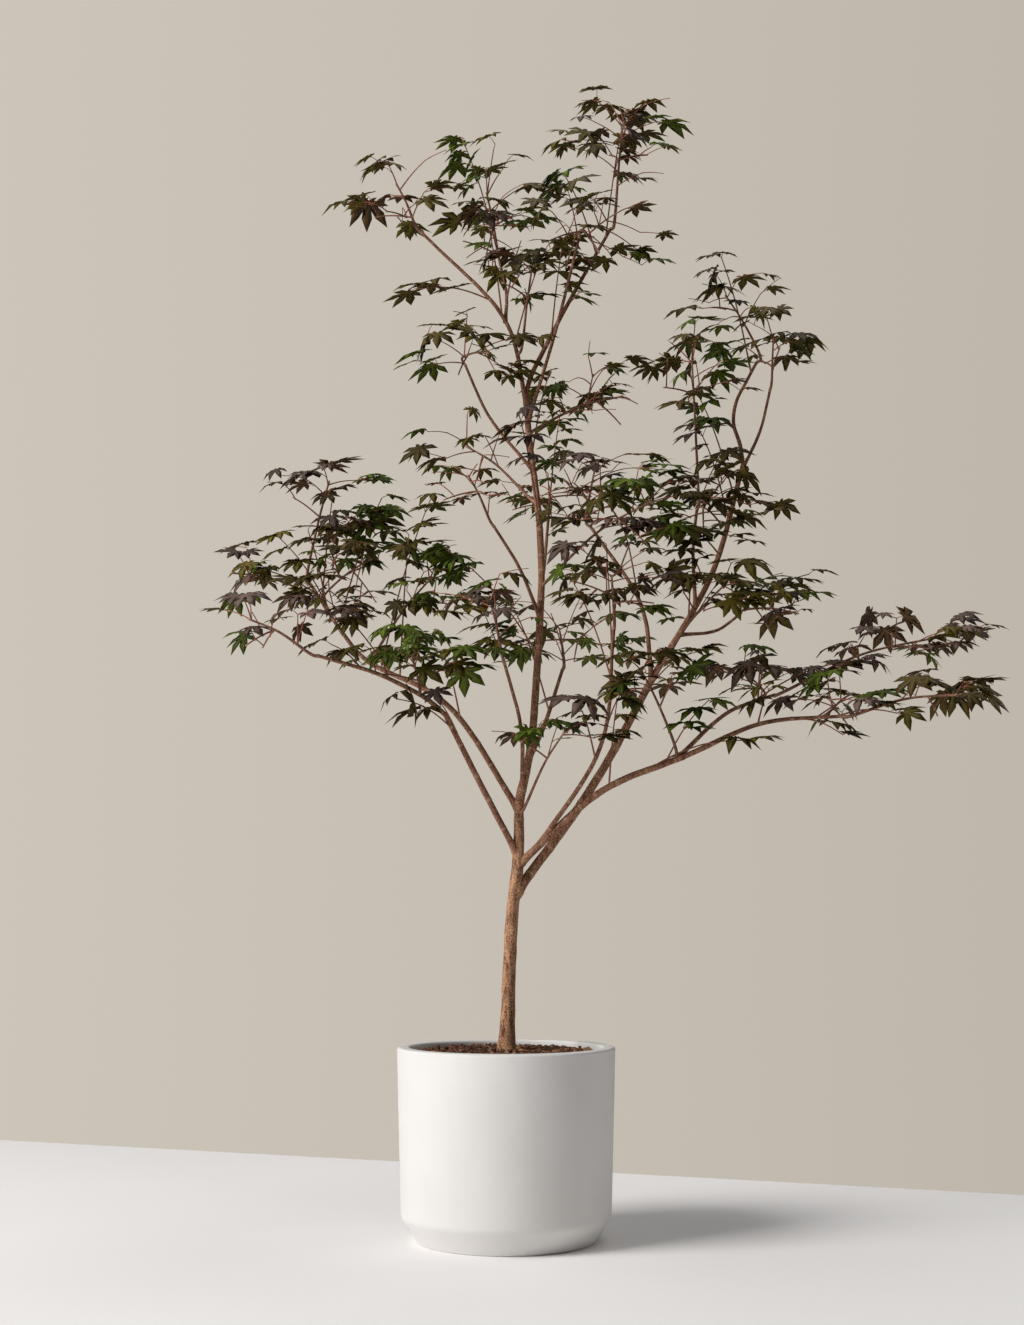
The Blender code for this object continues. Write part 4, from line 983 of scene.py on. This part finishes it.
shoot_head = np.arctan2(shoot_way[:, 1], shoot_way[:, 0])
every = np.arange(shoot_count)
lower = draw.random(shoot_count) < LOWER_LEAF
for side in (1.0, -1.0):
    add_leaves(shoots[:, 1], shoot_head, side, every, 1.0)
    add_leaves(tips[has_tip], tip_head[has_tip], side, every[has_tip], 0.92)
add_leaves((shoots[:, 0] + shoot_way * 0.55)[lower], shoot_head[lower],
           np.where(draw.random(lower.sum()) < 0.5, 1.35, -1.35), every[lower], 0.88)
for number, path in enumerate(wisps):
    length = np.linalg.norm(np.diff(path, axis=0), axis=1).sum()
    shares = np.arange(1.0, 0.38, -WISP_STEP / length)
    node = np.array([along(path, share) for share in shares])
    way = np.array([heading(path, share) for share in shares])
    for side in (1.0, -1.0):
        add_leaves(node, np.arctan2(way[:, 1], way[:, 0]), side, shoot_count + number, 1.0)
nodes, heads, sides, owners, sizes = (np.concatenate(values) for values in (nodes, heads, sides, owners, sizes))
lengths = BLADE_LENGTH * sizes * np.clip(draw.normal(1.0, 0.17, len(nodes)), 0.6, 1.35)
places, ways = new_leaves(draw, nodes, heads, sides, lengths)
blades = make_blades(places, ways, lengths, draw.uniform(0.15, 0.85, len(nodes)), draw)
fullness = [OPEN_MASSES.get(mass, LEAF_THERE) for mass in shoot_mass] + [LEAF_THERE] * len(WISPS)
there = draw.random(len(nodes)) < np.array(fullness)[owners]

limb_points, limb_sizes = dense_limbs(limbs)
kept = []
low, high = (np.array(corner) for corner in cad_box)
for blade, place, owner in zip(blades, places, owners):
    close = np.linalg.norm(limb_points - place, axis=1) < 0.09
    away = np.linalg.norm(blade[:, None] - limb_points[close], axis=2) - limb_sizes[close]
    inside = (blade > low - 0.006).all() and (blade < high + 0.006).all()
    if owner < shoot_count:
        inside = inside and out_from(blade, shoot_mass[owner]).max() < SPACE_REACH * 1.12
    kept.append(inside and (not close.any() or away.min() > 0.001))
kept = np.array(kept) & there
tip_points = carried(arched(shoots[has_tip, 1], tips[has_tip], 0.03, 8),
                     tapered(np.full(has_tip.sum(), 0.0008), np.full(has_tip.sum(), 0.0006), 8), 5)
wisp_points = carried(wisps, tapered(np.full(len(WISPS), 0.0016), np.full(len(WISPS), 0.0008), 24), 6)
for name, points, red in (("tip_twigs", tip_points, 0.85), ("loose_shoots", wisp_points, 0.5)):
    marks = {"scar": end_marks(*points.shape[:3]), "red": np.full(points[..., 0].size, red)}
    make_piece(name, points.reshape(-1, 3), tube_faces(*points.shape[:3]), young_bark, "bark", (), marks)
stalk_points = carried(arched(nodes[kept], places[kept], 0.10, 6),
                       tapered(np.full(kept.sum(), 0.00065), np.full(kept.sum(), 0.00050), 6), 5)
marks = {"scar": 0.3 * end_marks(*stalk_points.shape[:3]), "red": np.ones(stalk_points[..., 0].size)}
make_piece("leaf_stalks", stalk_points.reshape(-1, 3), tube_faces(*stalk_points.shape[:3]), young_bark, "bark",
           (), marks)

LEAF_COLOURS = {
    "bronze": ((0.022, 0.020, 0.004), (0.092, 0.066, 0.015), (0.090, 0.068, 0.010), (0.19, 0.10, 0.02), 0.60),
    "purple": ((0.042, 0.027, 0.021), (0.150, 0.100, 0.086), (0.105, 0.058, 0.020), (0.20, 0.11, 0.07), 0.56),
    "olive": ((0.036, 0.034, 0.003), (0.140, 0.108, 0.012), (0.115, 0.098, 0.010), (0.25, 0.16, 0.02), 0.60),
    "green": ((0.024, 0.038, 0.002), (0.098, 0.145, 0.008), (0.095, 0.125, 0.010), (0.19, 0.21, 0.02), 0.56),
}
mass_tint = np.array([TINTS.index(MASSES[mass][5]) for mass in shoot_mass])
dealt = draw.choice(len(TINTS), shoot_count + len(WISPS), p=[TINT_SHARE[tint] for tint in TINTS])
own = draw.random(shoot_count) < OWN_TINT
spray_tint = np.concatenate((np.where(own, mass_tint, dealt[:shoot_count]), dealt[shoot_count:]))
shade = draw.random(len(nodes))
_, _, _, under, vein, _ = blade_template()
for number, tint in enumerate(TINTS):
    chosen = kept & (spray_tint[owners] == number)
    count = int(chosen.sum())
    faces = [(np.arange(count)[:, None, None] * 44 + group).reshape(-1, group.shape[1]) for group in blade_faces()]
    marks = {"shade": np.repeat(shade[chosen], 44), "under": np.tile(under, count), "vein": np.tile(vein, count)}
    carried_by = [mass for mass, row in MASSES.items() if row[5] == tint]
    make_piece(tint + "_leaves", blades[chosen].reshape(-1, 3), faces, leaf_finish(tint, *LEAF_COLOURS[tint]),
               tint, carried_by, marks)

# The studio: a pale floor whose far edge runs off to the right, a grey-beige backdrop, a large
# soft light from the left, a weaker one overhead, a faint one from behind and faint light all round.
FLOOR_CORNERS = ((-6.0, -5.0, 0.0), (6.0, -5.0, 0.0), (6.0, -1.445, 0.0), (-6.0, 3.12, 0.0))

floor_mesh = bpy.data.meshes.new("floor")
floor_mesh.from_pydata(FLOOR_CORNERS, [], [(0, 1, 2, 3)])
floor_finish, floor_base, floor_place = new_finish("floor", 0.85, 0.2)
floor_place.noise(1.5).between(0.3, 0.7).mix((0.93, 0.912, 0.905), (0.96, 0.942, 0.935)).feed("Base Color")
floor_mesh.materials.append(floor_finish)
floor = bpy.data.objects.new("floor", floor_mesh)
bpy.context.scene.collection.objects.link(floor)

world = bpy.data.worlds.new("studio")
world.use_nodes = True
bpy.context.scene.world = world
sky = Shade(world.node_tree)
seen = sky.node("ShaderNodeLightPath", {}, {}, "Is Camera Ray")
background = world.node_tree.nodes["Background"]
# Painted shade on the backdrop: its colour runs from lighter on the left to darker on the right, as the light from the
# left falls off across it
wall_way = sky.node("ShaderNodeSeparateXYZ", {}, {"Vector": sky.node("ShaderNodeTexCoord", {}, {}, "Generated")}, "X")
wall = wall_way.between(-0.30, 0.30).mix((0.610, 0.560, 0.490), (0.515, 0.468, 0.404))
world.node_tree.links.new(seen.mix((0.06, 0.06, 0.06), wall).socket, background.inputs["Color"])
background.inputs["Strength"].default_value = 1.0


def soft_light(name, place, aim, size, power, colour):
    """A large square lamp that shines from one place towards another."""
    lamp = bpy.data.lights.new(name, "AREA")
    lamp.size = size
    lamp.energy = power
    lamp.color = colour
    obj = bpy.data.objects.new(name, lamp)
    obj.location = place
    obj.rotation_euler = (Vector(aim) - Vector(place)).to_track_quat("-Z", "Y").to_euler()
    bpy.context.scene.collection.objects.link(obj)


soft_light("key", (-5.0, -2.7, 4.0), (0.0, 0.0, 0.7), 3.0, 425.0, (1.0, 0.985, 0.97))
soft_light("top", (0.8, 0.2, 5.0), (0.8, 0.2, 0.0), 4.0, 90.0, (1.0, 0.99, 0.98))
soft_light("edge", (2.6, 1.6, 1.2), (0.0, 0.0, 0.6), 1.0, 9.0, (1.0, 0.98, 0.95))

camera_data = bpy.data.cameras.new("camera")
camera_data.sensor_fit = "VERTICAL"
camera_data.sensor_height = 36.0
camera_data.lens = 36.0 * 1781 / 1325
camera = bpy.data.objects.new("camera", camera_data)
camera.location = (0.0095, -3.0, 0.526)
camera.rotation_euler = (radians(90 + 8.02), 0.0, 0.0)
bpy.context.scene.collection.objects.link(camera)
bpy.context.scene.camera = camera
bpy.context.scene.view_settings.view_transform = "Standard"
